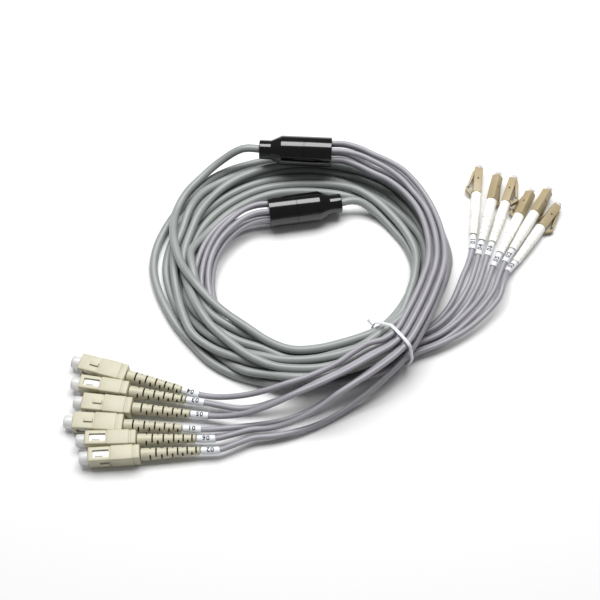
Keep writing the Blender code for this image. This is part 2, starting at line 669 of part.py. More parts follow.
def build_lc(name, point_mm, heading, roll):
    """A small latch connector: housing with latch and trigger, dust cap and boot."""
    half = LC_WIDTH / 2
    peak = half + LC_LATCH_RISE + 0.6 * LC_TRIGGER_THICKNESS
    depths = [LC_BOOT_FRONT_DIAMETER / 2]
    for y, z in ((-half, -half), (half, -half), (-LC_LATCH_WIDTH / 2, peak), (LC_LATCH_WIDTH / 2, peak)):
        depths.append(-y * math.sin(math.radians(roll)) - z * math.cos(math.radians(roll)))
    height = max(depths) + MM / 10
    frame = frame_empty(f"{name}_frame", placed(point_mm, height), heading, roll)
    shape = box_shape((0.0, -half, -half), (LC_LENGTH, half, half))
    bevel_along_x(shape, LC_EDGE)
    geometry = shape.verts[:] + shape.edges[:] + shape.faces[:]
    bmesh.ops.bisect_plane(shape, geom=geometry, plane_co=(LC_NOSE, 0, 0), plane_no=(1, 0, 0))
    for vert in shape.verts:
        if vert.co.x < LC_NOSE / 2:
            vert.co.y *= 0.86
            vert.co.z *= 0.86
    housing = add_object(f"{name}_housing", mesh_from(name, shape), "lc_khaki", parent=frame)

    top = half + LC_LATCH_RISE
    thick = LC_LATCH_THICKNESS
    tip = LC_LATCH_TIP
    latch = outline_cutter(f"{name}_latch", [
        (LC_LATCH_ROOT, half - thick), (LC_LATCH_ROOT, half), (LC_LATCH_ROOT + thick, half + thick),
        (tip, top), (tip, top - thick), (LC_LATCH_ROOT + 2.4 * thick, half),
        (LC_LATCH_ROOT + 2.4 * thick, half - thick),
    ], frame)
    heel = LC_LENGTH
    bar = LC_TRIGGER_THICKNESS
    trigger = outline_cutter(f"{name}_trigger", [
        (heel - bar, half - bar), (heel - bar, half + bar), (heel, half + bar),
        (tip + bar, top - 0.3 * bar), (tip + CLEARANCE, top - 0.3 * bar),
        (tip + CLEARANCE, top + 0.6 * bar), (tip + 2 * bar, top + 0.6 * bar),
        (heel + bar, half + 1.4 * bar), (heel + 1.4 * bar, half + 0.7 * bar),
        (heel, half + 0.7 * bar), (heel, half - bar),
    ], frame)
    combine(housing, "UNION", latch)
    combine(housing, "UNION", trigger)
    ferrule = LC_FERRULE_DIAMETER / 2
    sleeve_inner = ferrule + CLEARANCE
    sleeve_outer = sleeve_inner + LC_CAP_WALL
    ring = ring_cutter(f"{name}_ferrule_ring", ferrule, LC_BORE_DIAMETER / 2, -MM, LC_BORE_DEPTH, frame)
    combine(housing, "DIFFERENCE", ring)
    trim = ring_cutter(f"{name}_ferrule_trim", 0.0, LC_BORE_DIAMETER / 2, -2 * MM, MM, frame)
    combine(housing, "DIFFERENCE", trim)
    cap_shape(f"{name}_dust_cap", LC_CAP_KNOB_DIAMETER / 2, LC_CAP_KNOB_LENGTH, sleeve_inner,
              sleeve_outer, LC_CAP_SLEEVE_LENGTH, frame)
    boot_shape(f"{name}_boot", LC_LENGTH + CLEARANCE, LC_BOOT_LENGTH, LC_BOOT_FRONT_DIAMETER,
               LC_BOOT_REAR_DIAMETER, LC_BOOT_COLLAR_LENGTH, "boot_white", frame)
    return frame, LC_LENGTH + CLEARANCE + LC_BOOT_LENGTH, height


def outline_cutter(name, outline, frame):
    """A flat outline in the X and Z of a connector, as thick as the latch is wide."""
    curve = bpy.data.curves.new(name, "CURVE")
    curve.dimensions = "2D"
    curve.fill_mode = "BOTH"
    curve.extrude = LC_LATCH_WIDTH / 2
    spline = curve.splines.new("POLY")
    spline.points.add(len(outline) - 1)
    for target, (x, z) in zip(spline.points, outline):
        target.co = (x, z, 0.0, 1.0)
    spline.use_cyclic_u = True
    rough = bpy.data.objects.new(name, curve)
    CUTTERS.objects.link(rough)
    bpy.context.view_layer.update()
    evaluated = rough.evaluated_get(bpy.context.evaluated_depsgraph_get())
    mesh = bpy.data.meshes.new_from_object(evaluated)
    bpy.data.objects.remove(rough)
    shape = bmesh.new()
    shape.from_mesh(mesh)
    bmesh.ops.remove_doubles(shape, verts=shape.verts, dist=MM / 1000)
    bmesh.ops.rotate(shape, verts=shape.verts, matrix=Matrix.Rotation(math.pi / 2, 3, "X"))
    bmesh.ops.recalc_face_normals(shape, faces=shape.faces)
    shape.to_mesh(mesh)
    shape.free()
    return cutter(name, mesh, frame)


def trunk_plan(start, start_way, end, end_way):
    """The trunk's way round the coil from the upper neck to the lower one: places and layers."""
    stations = [(turn, *station) for turn, station in FIRST_TURN.items()]
    for number, turn in enumerate(WHOLE_TURNS, start=1):
        stations += [(360 * number + STATION_DEGREES * step, *station) for step, station in enumerate(turn)]
    last = 360 * (len(WHOLE_TURNS) + 1)
    stations += [(last + turn, *station) for turn, station in LAST_TURN.items()]
    ring = [np.array(COIL_CENTRE) + radius * heading_vector(turn) for turn, radius, _ in stations]
    layers = [layer for _, _, layer in stations]
    straight = TRUNK_STEP / MM
    places = np.array([start, start + straight * start_way, *ring, end + straight * end_way, end])
    return places, np.array([layers[0]] * 2 + layers + [layers[-1]] * 2, dtype=float)


def heading_vector(degrees):
    return np.array([math.cos(math.radians(degrees)), math.sin(math.radians(degrees))])


def seat_on(bundle, start_mm, heading, length, radius):
    """The height of a cylinder's axis that lies on the bundle."""
    way = heading_vector(heading)
    marks = np.arange(0.0, length / MM, 1.0)
    places = plan_of([np.array(start_mm) + mark * way for mark in marks])
    return float(bundle.rest(places, radius).max())


def leg_ends(frame, rear, hole):
    """Where a leg leaves a splitter, and the way it goes: places in millimetres, heights in metres."""
    y, z = hole
    seat = frame.matrix_world @ Vector((rear - LEG_SEAT_DEPTH + CLEARANCE, y, z))
    out = frame.matrix_world @ Vector((rear + 3 * LEG_DIAMETER, y, z))
    origin = np.array(LAYOUT_ORIGIN)
    return np.array(seat.xy) / MM + origin, np.array(out.xy) / MM + origin, seat.z


def plug_end(frame, reach):
    """Where a leg meets a boot's end, and a place before it on the connector's axis."""
    end = frame.matrix_world @ Vector((reach + CLEARANCE, 0.0, 0.0))
    before = frame.matrix_world @ Vector((reach + 4 * LEG_DIAMETER, 0.0, 0.0))
    origin = np.array(LAYOUT_ORIGIN)
    return np.array(end.xy) / MM + origin, np.array(before.xy) / MM + origin, end.z


def lay_legs(name, splitter, ribbon, side, fans, plugs, holes, order, bundle):
    """Lays six legs from a splitter along a ribbon, and then each along its own fan to its plug."""
    frame, rear = splitter
    routes = {}
    for index in order:
        seat, out, start_height = leg_ends(frame, rear, leg_circle()[holes[index]])
        end, before, end_height = plug_end(*plugs[index])
        middle = offset_left(ribbon, side * (index - (LEGS_PER_SPLITTER - 1) / 2))
        plan = plan_of([seat, out, *middle, *fans[index], before, end])
        routes[index] = lay(plan, LEG_DIAMETER / 2, (start_height, end_height), bundle, LEG_STEP)
    for index, points in sorted(routes.items()):
        cord(f"{name}_leg_{index + 1}", points, LEG_DIAMETER, "leg_sheath")


def build_tie(bundle):
    """The flat band round the bundle, worked out from what it goes round, and its twisted tail."""
    inner, outer = plan_of([TIE_INNER, TIE_OUTER])
    way = (outer - inner) / np.linalg.norm(outer - inner)
    across = np.array([-way[1], way[0]])
    offsets = bundle.places - inner
    along = offsets @ way
    near = np.abs(offsets @ across) < TIE_GRIP
    near &= (along > -TIE_SPARE) & (along < np.linalg.norm(outer - inner) + TIE_SPARE)
    held = np.column_stack([along[near], bundle.heights[near]])
    reach = bundle.radii[near] + STRAND_GAP
    turns = [2 * math.pi * step / TIE_SIDES for step in range(TIE_SIDES)]
    support = []
    for turn in turns:
        normal = np.array([math.cos(turn), math.sin(turn)])
        support.append((normal, (held @ normal + reach).max()))
    outline_in = corners_of(support, 0.0)
    outline_out = corners_of(support, TIE_THICKNESS)
    shape = bmesh.new()
    count = len(turns)
    rings = []
    for outline, offset in ((outline_in, -0.5), (outline_out, -0.5), (outline_out, 0.5), (outline_in, 0.5)):
        rings.append([
            shape.verts.new((
                *(inner + way * u + across * offset * TIE_WIDTH),
                max(w, CLEARANCE / 10 if outline is outline_out else TIE_THICKNESS),
            ))
            for u, w in outline
        ])
    for first, second in zip(rings, rings[1:] + rings[:1]):
        for step in range(count):
            after = (step + 1) % count
            shape.faces.new((first[step], first[after], second[after], second[step]))
    band = add_object("wire_tie", mesh_from("wire_tie", shape), "tie_white")
    height = float(np.median(held[:, 1]))
    start = inner + way * side_at(outline_out, height)
    tail = cutter("tie_tail", mesh_from("tie_tail", box_shape(
        (-TIE_TAIL_LENGTH, -TIE_TAIL_WIDTH / 2, -TIE_THICKNESS),
        (TIE_THICKNESS, TIE_TAIL_WIDTH / 2, TIE_THICKNESS),
    )), None)
    tail.matrix_world = (
        Matrix.Translation((*start, height)) @ Matrix.Rotation(math.atan2(way[1], way[0]), 4, "Z")
    )
    combine(band, "UNION", tail)


def side_at(outline, height):
    """How far along the least side of a closed outline stands at a height."""
    sides = []
    for (u, w), (after_u, after_w) in zip(outline, outline[1:] + outline[:1]):
        if min(w, after_w) <= height <= max(w, after_w) and w != after_w:
            sides.append(u + (height - w) / (after_w - w) * (after_u - u))
    return min(sides)


def corners_of(support, grow):
    """The corners where each support line meets the next, grown outwards."""
    corners = []
    for (first, reach_first), (second, reach_second) in zip(support, support[1:] + support[:1]):
        solved = np.linalg.solve(np.array([first, second]), [reach_first + grow, reach_second + grow])
        corners.append(tuple(solved))
    return corners


def build():
    bundle = Bundle()
    outer = SPLITTER_DIAMETER / 2
    lower = build_splitter("lower_splitter", LOWER_NECK, LOWER_HEADING, outer)
    sc_plugs = [build_sc(f"sc_{i + 1}", *place) for i, place in enumerate(SC_PLACES)]
    lc_plugs = [build_lc(f"lc_{i + 1}", *place) for i, place in enumerate(LC_PLACES)]
    bpy.context.view_layer.update()
    lay_legs("lower", lower, LOWER_RIBBON, -1, LOWER_FANS, [p[:2] for p in lc_plugs],
             LOWER_HOLES, (2, 4, 0, 5, 1, 3), bundle)

    before_trunk = (bundle.places, bundle.heights, bundle.radii)
    height = 2 * outer
    for _ in range(2):
        bundle.places, bundle.heights, bundle.radii = before_trunk
        up_way, low_way = heading_vector(UPPER_HEADING + 180), heading_vector(LOWER_HEADING + 180)
        seat = (CABLE_SEAT_DEPTH - CLEARANCE) / MM
        plan, layers = trunk_plan(
            np.array(UPPER_NECK) - seat * up_way, up_way, np.array(LOWER_NECK) - seat * low_way, low_way,
        )
        points = sink(plan_of(plan), layers, (height, outer), bundle)
        length = NECK_LENGTH + CONE_LENGTH + FRONT_CYLINDER_LENGTH + CLEARANCE + CAP_LENGTH
        under = Bundle()
        later = -SINK_PARTS * (len(points) - len(FIRST_TURN))
        under.add(bundle.places[later:], bundle.heights[later:], TRUNK_DIAMETER / 2)
        height = seat_on(under, UPPER_NECK, UPPER_HEADING, length, outer)
    cord("trunk_cable", points, TRUNK_DIAMETER, "trunk_sheath")
    upper = build_splitter("upper_splitter", UPPER_NECK, UPPER_HEADING, height)
    bpy.context.view_layer.update()
    lay_legs("upper", upper, UPPER_RIBBON, 1, UPPER_FANS, [p[:2] for p in sc_plugs],
             UPPER_HOLES, (1, 3, 0, 5, 2, 4), bundle)
    build_tie(bundle)


build()
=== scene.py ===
"""Fibre breakout cable: the looks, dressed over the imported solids.

The trunk and the legs are laid here again by the same rules and from the same places as the solids.
"""
from __future__ import annotations

import logging
import math
from collections.abc import Callable, Iterable, Sequence
from dataclasses import dataclass, field
from enum import Enum

import bmesh
import bpy
import numpy as np
from mathutils import Matrix, Vector


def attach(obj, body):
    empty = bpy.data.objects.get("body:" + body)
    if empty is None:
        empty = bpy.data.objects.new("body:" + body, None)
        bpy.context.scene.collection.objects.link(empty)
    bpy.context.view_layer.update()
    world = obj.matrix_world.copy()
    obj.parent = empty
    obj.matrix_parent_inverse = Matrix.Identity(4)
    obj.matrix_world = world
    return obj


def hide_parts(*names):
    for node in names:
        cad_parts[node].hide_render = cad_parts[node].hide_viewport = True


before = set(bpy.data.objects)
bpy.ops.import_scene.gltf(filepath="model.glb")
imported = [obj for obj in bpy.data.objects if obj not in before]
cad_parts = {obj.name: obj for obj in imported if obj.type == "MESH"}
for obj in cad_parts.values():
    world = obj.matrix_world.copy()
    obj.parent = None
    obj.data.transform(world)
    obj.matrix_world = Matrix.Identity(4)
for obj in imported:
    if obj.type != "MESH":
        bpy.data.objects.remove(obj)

LOG = logging.getLogger("breakout_cable")
MM = 0.001
BODY = "root"
Piece = bpy.types.Object

CLEARANCE = 0.0003
STRAND_GAP = 0.0004
TRUNK_DIAMETER = 0.0044
LEG_DIAMETER = 0.0030
TRUNK_STEP = 3.0 * TRUNK_DIAMETER
LEG_STEP = 3.0 * LEG_DIAMETER
LAY_SAMPLE = 0.002
CURVE_SAMPLES = 24
LAYER_PITCH = 0.0046
SINK_PARTS = 4
SINK_ROUNDS = 300
SINK_LAST_ROUNDS = 80
SINK_PUSHES = 3
SINK_FALL = 0.0003
NEIGHBOUR_STEPS = 4
MEETING_REACH = 3 * TRUNK_DIAMETER
SEATING_ROUNDS = 2
PLAN_HOLD = 0.2
STIFFNESS = 0.2
TIE_WIDTH = 0.0019
TIE_THICKNESS = 0.0008
TIE_GRIP = 0.006
LEGS_PER_SPLITTER = 6
LEG_DROOP = 0.05
END_REACH = 0.02
LAY_EASE = 0.016
EXIT_STEPS = 8
HOLE_DEGREES = 60
COAT_ROUGHNESS = 0.12
SCATTER_REACH = 0.002
BUMP_REACH = 0.0001

# Layout on the floor, in millimetres
LAYOUT_ORIGIN = (13.93, -0.13)
COIL_CENTRE = (0.0, 22.0)

# Splitters: neck end, heading from the neck to the rear in degrees
UPPER_NECK, UPPER_HEADING = (-22.6, 87.6), -3.0
LOWER_NECK, LOWER_HEADING = (22.6, 57.3), -170.9

# The coil, turn by turn from the upper splitter to the lower one. Each pair is the trunk's distance
# from the coil's centre and its layer. A whole turn has one at each eighth, anticlockwise from the
# right. The first turn starts at the upper splitter's neck and the last ends at the lower splitter's,
# and these two name their angles. Where the trunk crosses itself, the higher layer lies on the other.
FIRST_TURN = {
    124: (76.4, 9), 138: (76.8, 9), 155: (74.6, 9), 180: (64.5, 9), 203: (56.8, 9), 225: (55.4, 9),
    270: (58.5, 9), 315: (63.3, 9),
}
WHOLE_TURNS = (
    ((63.5, 8), (56.0, 8), (53.2, 5), (55.9, 2), (61.4, 2), (61.0, 2), (62.4, 2), (63.9, 2)),
    ((67.9, 5), (60.6, 5), (57.7, 4), (60.4, 3), (66.0, 3), (65.9, 1), (65.4, 4), (66.4, 3)),
    ((72.5, 6), (70.6, 6), (64.0, 6), (64.0, 6), (61.8, 6), (64.2, 6), (69.9, 6), (70.0, 6)),
    ((76.2, 5.5), (75.5, 5.5), (67.0, 5.5), (69.5, 5.5), (66.8, 5.5), (68.3, 4), (66.9, 3), (69.8, 4)),
    ((71.4, 2), (69.2, 2), (62.3, 2), (66.4, 2), (72.0, 5), (70.5, 1), (71.4, 1), (73.0, 5)),
    ((77.0, 1), (78.0, 1), (71.6, 1), (74.5, 1), (79.0, 1), (73.5, 1), (71.0, 1), (73.2, 1)),
    ((67.0, 1), (56.9, 1), (48.7, 1), (52.0, 1), (57.0, 1), (57.0, 1), (57.9, 1), (61.5, 1)),
)
LAST_TURN = {0: (62.6, 1), 30: (55.0, 1)}
STATION_DEGREES = 45

# Connectors: front face centre, heading from the front to the rear, roll about it in degrees
SC_PLACES = (
    ((-111.7, -40.2), -16.0, 0.0),
    ((-110.6, -52.4), -9.3, -90.0),
    ((-108.6, -62.6), -6.3, 0.0),
    ((-112.3, -73.0), -3.5, 0.0),
    ((-105.1, -83.4), 1.2, 90.0),
    ((-102.7, -92.4), 4.0, 90.0),
)
LC_PLACES = (
    ((101.3, 84.6), -98.5, 90.0),
    ((111.0, 77.3), -106.0, -145.0),
    ((120.5, 77.3), -110.5, -72.0),
    ((128.6, 66.8), -117.2, 125.0),
    ((138.0, 66.8), -121.0, -150.0),
    ((142.4, 58.6), -125.5, -110.0),
)

# The flat ribbon that the upper splitter's legs lie in, from the housing clockwise to the tie and a
# little past it: places of its middle, and how far apart the legs lie in it
UPPER_RIBBON = (
    (38.0, 79.0, 2.1), (55.0, 69.0, 2.1), (67.5, 51.0, 2.1), (72.6, 31.0, 2.1), (72.4, 13.0, 2.1),
    (67.4, -3.0, 2.1), (60.8, -18.0, 2.1), (50.3, -36.0, 2.2),
)
# Then each leg's own way to its connector
UPPER_FANS = (
    ((32.5, -38.5), (17.0, -48.8), (0.5, -55.6), (-14.6, -59.5), (-30.1, -60.8)),
    ((36.0, -42.0), (18.0, -53.0), (0.0, -60.5), (-16.0, -64.3), (-31.0, -65.8)),
    ((34.0, -46.0), (20.0, -54.5), (4.0, -62.5), (-12.0, -68.5), (-28.0, -71.0)),
    ((37.0, -49.0), (22.0, -58.0), (5.0, -66.5), (-12.0, -72.5), (-30.0, -75.5)),
    ((40.5, -49.5), (24.5, -60.5), (7.0, -70.5), (-10.0, -76.0), (-26.0, -78.0)),
    ((41.5, -52.5), (25.5, -64.0), (7.0, -74.5), (-10.0, -80.0), (-26.0, -82.5)),
)

# The lower splitter's legs, from the housing anticlockwise under the coil and out past the tie
LOWER_RIBBON = (
    (-37.0, 42.5, 2.1), (-46.0, 31.0, 2.0), (-51.0, 15.0, 1.9), (-49.5, -4.0, 1.9), (-40.0, -22.0, 2.1),
    (-22.0, -36.5, 2.8), (0.0, -42.5, 3.2), (20.0, -43.0, 3.2), (40.0, -38.0, 3.0), (54.5, -30.5, 2.4),
)
LOWER_FANS = (
    ((68.0, -17.5), (79.5, -4.0), (87.5, 14.0)),
    ((70.0, -19.5), (82.0, -7.0), (91.0, 9.0)),
    ((71.0, -22.0), (84.0, -10.0), (94.5, 7.0)),
    ((72.5, -23.5), (86.0, -12.0), (97.5, 3.0)),
    ((73.5, -26.0), (88.5, -14.5), (101.5, 1.0)),
    ((75.0, -28.0), (91.5, -17.0), (105.5, -1.0)),
)

# Which hole of the splitter's circle each leg leaves by, counted from its side
UPPER_HOLES = (3, 4, 2, 5, 1, 0)
LOWER_HOLES = (0, 1, 5, 2, 4, 3)

# Tie: the line on the floor that it crosses the bundle on
TIE_INNER, TIE_OUTER = (41.5, -23.5), (55.5, -40.5)

# The order in which each splitter's legs are laid on one another
LOWER_ORDER, UPPER_ORDER = (2, 4, 0, 5, 1, 3), (1, 3, 0, 5, 2, 4)


class Tint(Enum):
    """The colours of the object, as the photograph shows them in plain light, and one dark brown that is
    painted into the boot slots as their shade.
    """

    TRUNK = (0.300, 0.320, 0.310)
    LEG = (0.330, 0.322, 0.352)
    BLACK = (0.003, 0.003, 0.0035)
    CREAM = (0.55, 0.525, 0.390)
    PLUG = (0.86, 0.86, 0.83)
    KHAKI = (0.40, 0.325, 0.190)
    WARM_WHITE = (0.93, 0.92, 0.87)
    CLEAR = (0.98, 0.97, 0.97)
    SLEEVE = (0.80, 0.82, 0.85)
    INK = (0.02, 0.024, 0.03)
    # Painted shade: a dark brown put on the drawn-in faces of the square plugs' boot slots to stand in for
    # the shade at the bottom of them; the latch plugs' small side marks take it too
    SLOT = (0.035, 0.028, 0.012)
    TIE = (0.78, 0.78, 0.81)
    PAPER = (0.86, 0.86, 0.86)


class Lay(Enum):
    """Which way a cord's stiffness and lie are stated."""

    TRUNK = ("stiff", "coiled")
    LEG = ("medium", "loose")


@dataclass(frozen=True)
class Finish:
    """One finish: a tint with its gloss, its slight unevenness and its fine relief."""

    name: str
    tint: Tint
    roughness: float = 0.4
    unevenness: float = 0.06
    patch_size: float = 0.006
    grain: float = 0.0004
    relief: float = 0.05
    coat: float = 0.0
    specular: float = 0.5
    transmission: float = 0.0
    scatter: float = 0.0

    @staticmethod
    def noise(tree: bpy.types.NodeTree, place: bpy.types.Node, size: float, detail: float) -> bpy.types.Node:
        """A noise of a size, in metres, on Object coordinates.

        Args:
            tree: the material's nodes and links.
            place: the node that gives the coordinates.
            size: about how large its patches are.
            detail: how fine it breaks up.

        Returns:
            The noise node.
        """
        noise = tree.nodes.new("ShaderNodeTexNoise")
        noise.inputs["Scale"].default_value = 1.0 / size
        noise.inputs["Detail"].default_value = detail
        tree.links.new(place.outputs["Object"], noise.inputs["Vector"])
        return noise

    def material(self) -> bpy.types.Material:
        """Makes the finish's material once, and gives it again after that.

        Returns:
            The material, with its patches and its grain on Object coordinates.
        """
        known = bpy.data.materials.get(self.name)
        if known is not None:
            return known
        material = bpy.data.materials.new(self.name)
        material.use_nodes = True
        nodes, links = material.node_tree.nodes, material.node_tree.links
        shader = nodes["Principled BSDF"]
        for socket, value in (
            ("Specular IOR Level", self.specular), ("Coat Weight", self.coat),
            ("Coat Roughness", COAT_ROUGHNESS), ("Transmission Weight", self.transmission),
            ("Subsurface Weight", self.scatter), ("Subsurface Scale", SCATTER_REACH),
        ):
            shader.inputs[socket].default_value = value
        place = nodes.new("ShaderNodeTexCoord")
        patches = self.noise(material.node_tree, place, self.patch_size, 3.0)
        tints = nodes.new("ShaderNodeValToRGB")
        ends = ((0.3, 1.0 - self.unevenness), (0.7, 1.0 + self.unevenness))
        for element, (position, strength) in zip(tints.color_ramp.elements, ends):
            element.position = position
            element.color = (*(min(1.0, channel * strength) for channel in self.tint.value), 1.0)
        links.new(patches.outputs["Fac"], tints.inputs["Fac"])
        links.new(tints.outputs["Color"], shader.inputs["Base Color"])
        gloss = nodes.new("ShaderNodeMapRange")
        gloss.inputs["To Min"].default_value = self.roughness * 0.85
        gloss.inputs["To Max"].default_value = min(1.0, self.roughness * 1.2)
        links.new(patches.outputs["Fac"], gloss.inputs["Value"])
        links.new(gloss.outputs["Result"], shader.inputs["Roughness"])
        grain = self.noise(material.node_tree, place, self.grain, 2.0)
        bump = nodes.new("ShaderNodeBump")
        bump.inputs["Strength"].default_value = self.relief
        bump.inputs["Distance"].default_value = BUMP_REACH
        links.new(grain.outputs["Fac"], bump.inputs["Height"])
        links.new(bump.outputs["Normal"], shader.inputs["Normal"])
        return material


TRUNK_SHEATH = Finish("trunk_sheath_finish", Tint.TRUNK, roughness=0.36, relief=0.10, patch_size=0.012)
LEG_SHEATH = Finish("leg_sheath_finish", Tint.LEG, roughness=0.36, relief=0.10, patch_size=0.012)
BLACK_GLOSS = Finish("black_gloss_finish", Tint.BLACK, roughness=0.12, relief=0.01, specular=0.75)
CREAM_PLASTIC = Finish("cream_plastic_finish", Tint.CREAM, roughness=0.42, relief=0.12, scatter=0.08)
WHITE_PLUG = Finish("white_plug_finish", Tint.PLUG, roughness=0.35)
KHAKI_PLASTIC = Finish("khaki_plastic_finish", Tint.KHAKI, roughness=0.40, relief=0.12, scatter=0.05)
WARM_RUBBER = Finish("warm_rubber_finish", Tint.WARM_WHITE, roughness=0.5, relief=0.15, scatter=0.1)
CLEAR_CAP = Finish("clear_cap_finish", Tint.CLEAR, roughness=0.3, transmission=0.45, relief=0.1)
SLEEVE_VINYL = Finish("sleeve_vinyl_finish", Tint.SLEEVE, roughness=0.33, relief=0.08, coat=0.3)
NUMERAL_INK = Finish("numeral_ink_finish", Tint.INK, roughness=0.6)
# Painted shade in the square plugs' boot slots; the latch plugs' side marks use it as well
SLIT_SHADE_AND_MARK = Finish("slit_shade_and_mark_finish", Tint.SLOT, roughness=0.8)
TIE_PLASTIC = Finish("tie_plastic_finish", Tint.TIE, roughness=0.35, relief=0.1, scatter=0.1)
PAPER = Finish("paper_finish", Tint.PAPER, roughness=0.9, unevenness=0.0, relief=0.0)


class Bench:
    """The modelling steps that the pieces share."""

    @staticmethod
    def clear() -> None:
        """Leaves edit mode and deselects everything."""
        if bpy.context.object is not None and bpy.context.object.mode != "OBJECT":
            bpy.ops.object.mode_set(mode="OBJECT")
        bpy.ops.object.select_all(action="DESELECT")

    @staticmethod
    def only(piece: Piece) -> None:
        """Makes one piece the selected and active one.

        Args:
            piece: the piece.
        """
        Bench.clear()
        piece.select_set(True)
        bpy.context.view_layer.objects.active = piece

    @staticmethod
    def edit() -> None:
        """Opens the active piece in edit mode, with all of it selected."""
        bpy.ops.object.mode_set(mode="EDIT")
        bpy.ops.mesh.select_all(action="SELECT")

    @staticmethod
    def leave() -> None:
        """Goes back to object mode."""
        bpy.ops.object.mode_set(mode="OBJECT")

    @staticmethod
    def added(name: str) -> Piece:
        """The piece that was just added, named and with its place worked into its shape.

        Args:
            name: the piece's name.

        Returns:
            The piece.
        """
        piece = bpy.context.object
        piece.name = name
        bpy.ops.object.transform_apply(location=True, rotation=True, scale=True)
        return piece

    @staticmethod
    def box(name: str, low: Sequence[float], high: Sequence[float], edge: float = 0.0) -> Piece:
        """A box between two corners, with its edges rounded.

        Args:
            name: the piece's name.
            low: the lowest corner.
            high: the highest corner.
            edge: how far its edges are rounded, or 0.

        Returns:
            The box.
        """
        Bench.clear()
        middle = [(a + b) / 2 for a, b in zip(low, high)]
        size = [b - a for a, b in zip(low, high)]
        bpy.ops.mesh.primitive_cube_add(size=1.0, location=middle, scale=size)
        piece = Bench.added(name)
        if edge:
            Bench.edit()
            bpy.ops.mesh.bevel(offset=edge, segments=3, affect="EDGES")
            Bench.leave()
        return piece

    @staticmethod
    def lathe(
        name: str, profile: Sequence[tuple[float, float]], sides: int, closed: bool = False,
    ) -> Piece:
        """A turned piece about the X axis, drawn out ring by ring.

        Args:
            name: the piece's name.
            profile: each ring's place along the axis and its radius.
            sides: how many sides it has.
            closed: whether the last ring joins the first, as in a tube.

        Returns:
            The turned piece.
        """
        Bench.clear()
        start, radius = profile[0]
        bpy.ops.mesh.primitive_circle_add(
            vertices=sides, radius=radius, fill_type="NOTHING", location=(start, 0.0, 0.0),
            rotation=(0.0, math.pi / 2, 0.0),
        )
        piece = Bench.added(name)
        Bench.edit()
        if not closed:
            bpy.ops.mesh.edge_face_add()
            bpy.ops.mesh.select_mode(type="EDGE")
            bpy.ops.mesh.select_all(action="SELECT")
        for place, reach in profile[1:]:
            bpy.ops.mesh.extrude_edges_move(TRANSFORM_OT_translate={"value": (place - start, 0.0, 0.0)})
            grow = reach / radius
            bpy.ops.transform.resize(value=(1.0, grow, grow), center_override=(place, 0.0, 0.0))
            start, radius = place, reach
        if not closed:
            bpy.ops.mesh.edge_face_add()
        bpy.ops.mesh.select_all(action="SELECT")
        bpy.ops.mesh.remove_doubles(threshold=1e-7)
        bpy.ops.mesh.normals_make_consistent(inside=False)
        Bench.leave()
        return piece

    @staticmethod
    def draw_in(piece: Piece, rule: Callable[[Vector, Vector], bool], scale: float) -> None:
        """Draws the faces whose middle and normal pass a rule in towards the X axis, with new sides.

        Args:
            piece: the piece to work on.
            rule: tells from a face's middle and normal whether it is drawn in.
            scale: the share of their distance from the axis that they keep.
        """
        Bench.only(piece)
        Bench.edit()
        bpy.ops.mesh.select_mode(type="FACE")
        bpy.ops.mesh.select_all(action="DESELECT")
        shape = bmesh.from_edit_mesh(piece.data)
        for face in shape.faces:
            face.select = rule(face.calc_center_median(), face.normal)
        shape.select_flush_mode()
        bmesh.update_edit_mesh(piece.data)
        bpy.ops.mesh.extrude_region_move(TRANSFORM_OT_translate={"value": (0.0, 0.0, 0.0)})
        bpy.ops.transform.resize(value=(1.0, scale, scale), center_override=(0.0, 0.0, 0.0))
        Bench.leave()

    @staticmethod
    def plate(name: str, outline: Sequence[tuple[float, float]], width: float, edge: float) -> Piece:
        """A plate of an outline in X and Z, as wide as stated along Y, with its edges rounded.

        Args:
            name: the piece's name.
            outline: its corners in order.
            width: how wide it is.
            edge: how far its edges are rounded, or 0.

        Returns:
            The plate.
        """
        Bench.clear()
        bpy.ops.mesh.primitive_circle_add(vertices=len(outline), radius=MM, fill_type="NGON")
        piece = Bench.added(name)
        Bench.edit()
        shape = bmesh.from_edit_mesh(piece.data)
        shape.verts.ensure_lookup_table()
        for vert, (x, z) in zip(shape.verts, outline):
            vert.co = (x, -width / 2, z)
        bmesh.update_edit_mesh(piece.data)
        bpy.ops.mesh.select_all(action="SELECT")
        bpy.ops.mesh.extrude_region_move(TRANSFORM_OT_translate={"value": (0.0, width, 0.0)})
        bpy.ops.mesh.select_all(action="SELECT")
        bpy.ops.mesh.normals_make_consistent(inside=False)
        if edge:
            bpy.ops.mesh.bevel(offset=edge, segments=2, affect="EDGES")
        Bench.leave()
        return piece

    @staticmethod
    def tube(name: str, line: Iterable[Sequence[float]], radius: float, rounding: int) -> Piece:
        """A round tube with closed ends along one open line, as a curve.

        Args:
            name: the piece's name.
            line: the points of its axis.
            radius: its radius.
            rounding: how finely its section is rounded.

        Returns:
            The tube.
        """
        points = list(line)
        curve = bpy.data.curves.new(name, "CURVE")
        curve.dimensions = "3D"
        curve.bevel_depth = radius
        curve.bevel_resolution = rounding
        curve.use_fill_caps = True
        spline = curve.splines.new("POLY")
        spline.points.add(len(points) - 1)
        for target, point in zip(spline.points, points):
            target.co = (*point, 1.0)
        spline.use_smooth = True
        piece = bpy.data.objects.new(name, curve)
        bpy.context.scene.collection.objects.link(piece)
        return piece

    @staticmethod
    def combine(piece: Piece, operation: str, other: Piece) -> None:
        """Adds another shape to a piece or takes it away, and removes the other.

        Args:
            piece: the piece to change.
            operation: UNION or DIFFERENCE.
            other: the other shape.
        """
        modifier = piece.modifiers.new("combine", "BOOLEAN")
        modifier.operation = operation
        modifier.solver = "EXACT"
        modifier.object = other
        Bench.only(piece)
        bpy.ops.object.modifier_apply(modifier=modifier.name)
        bpy.data.objects.remove(other, do_unlink=True)

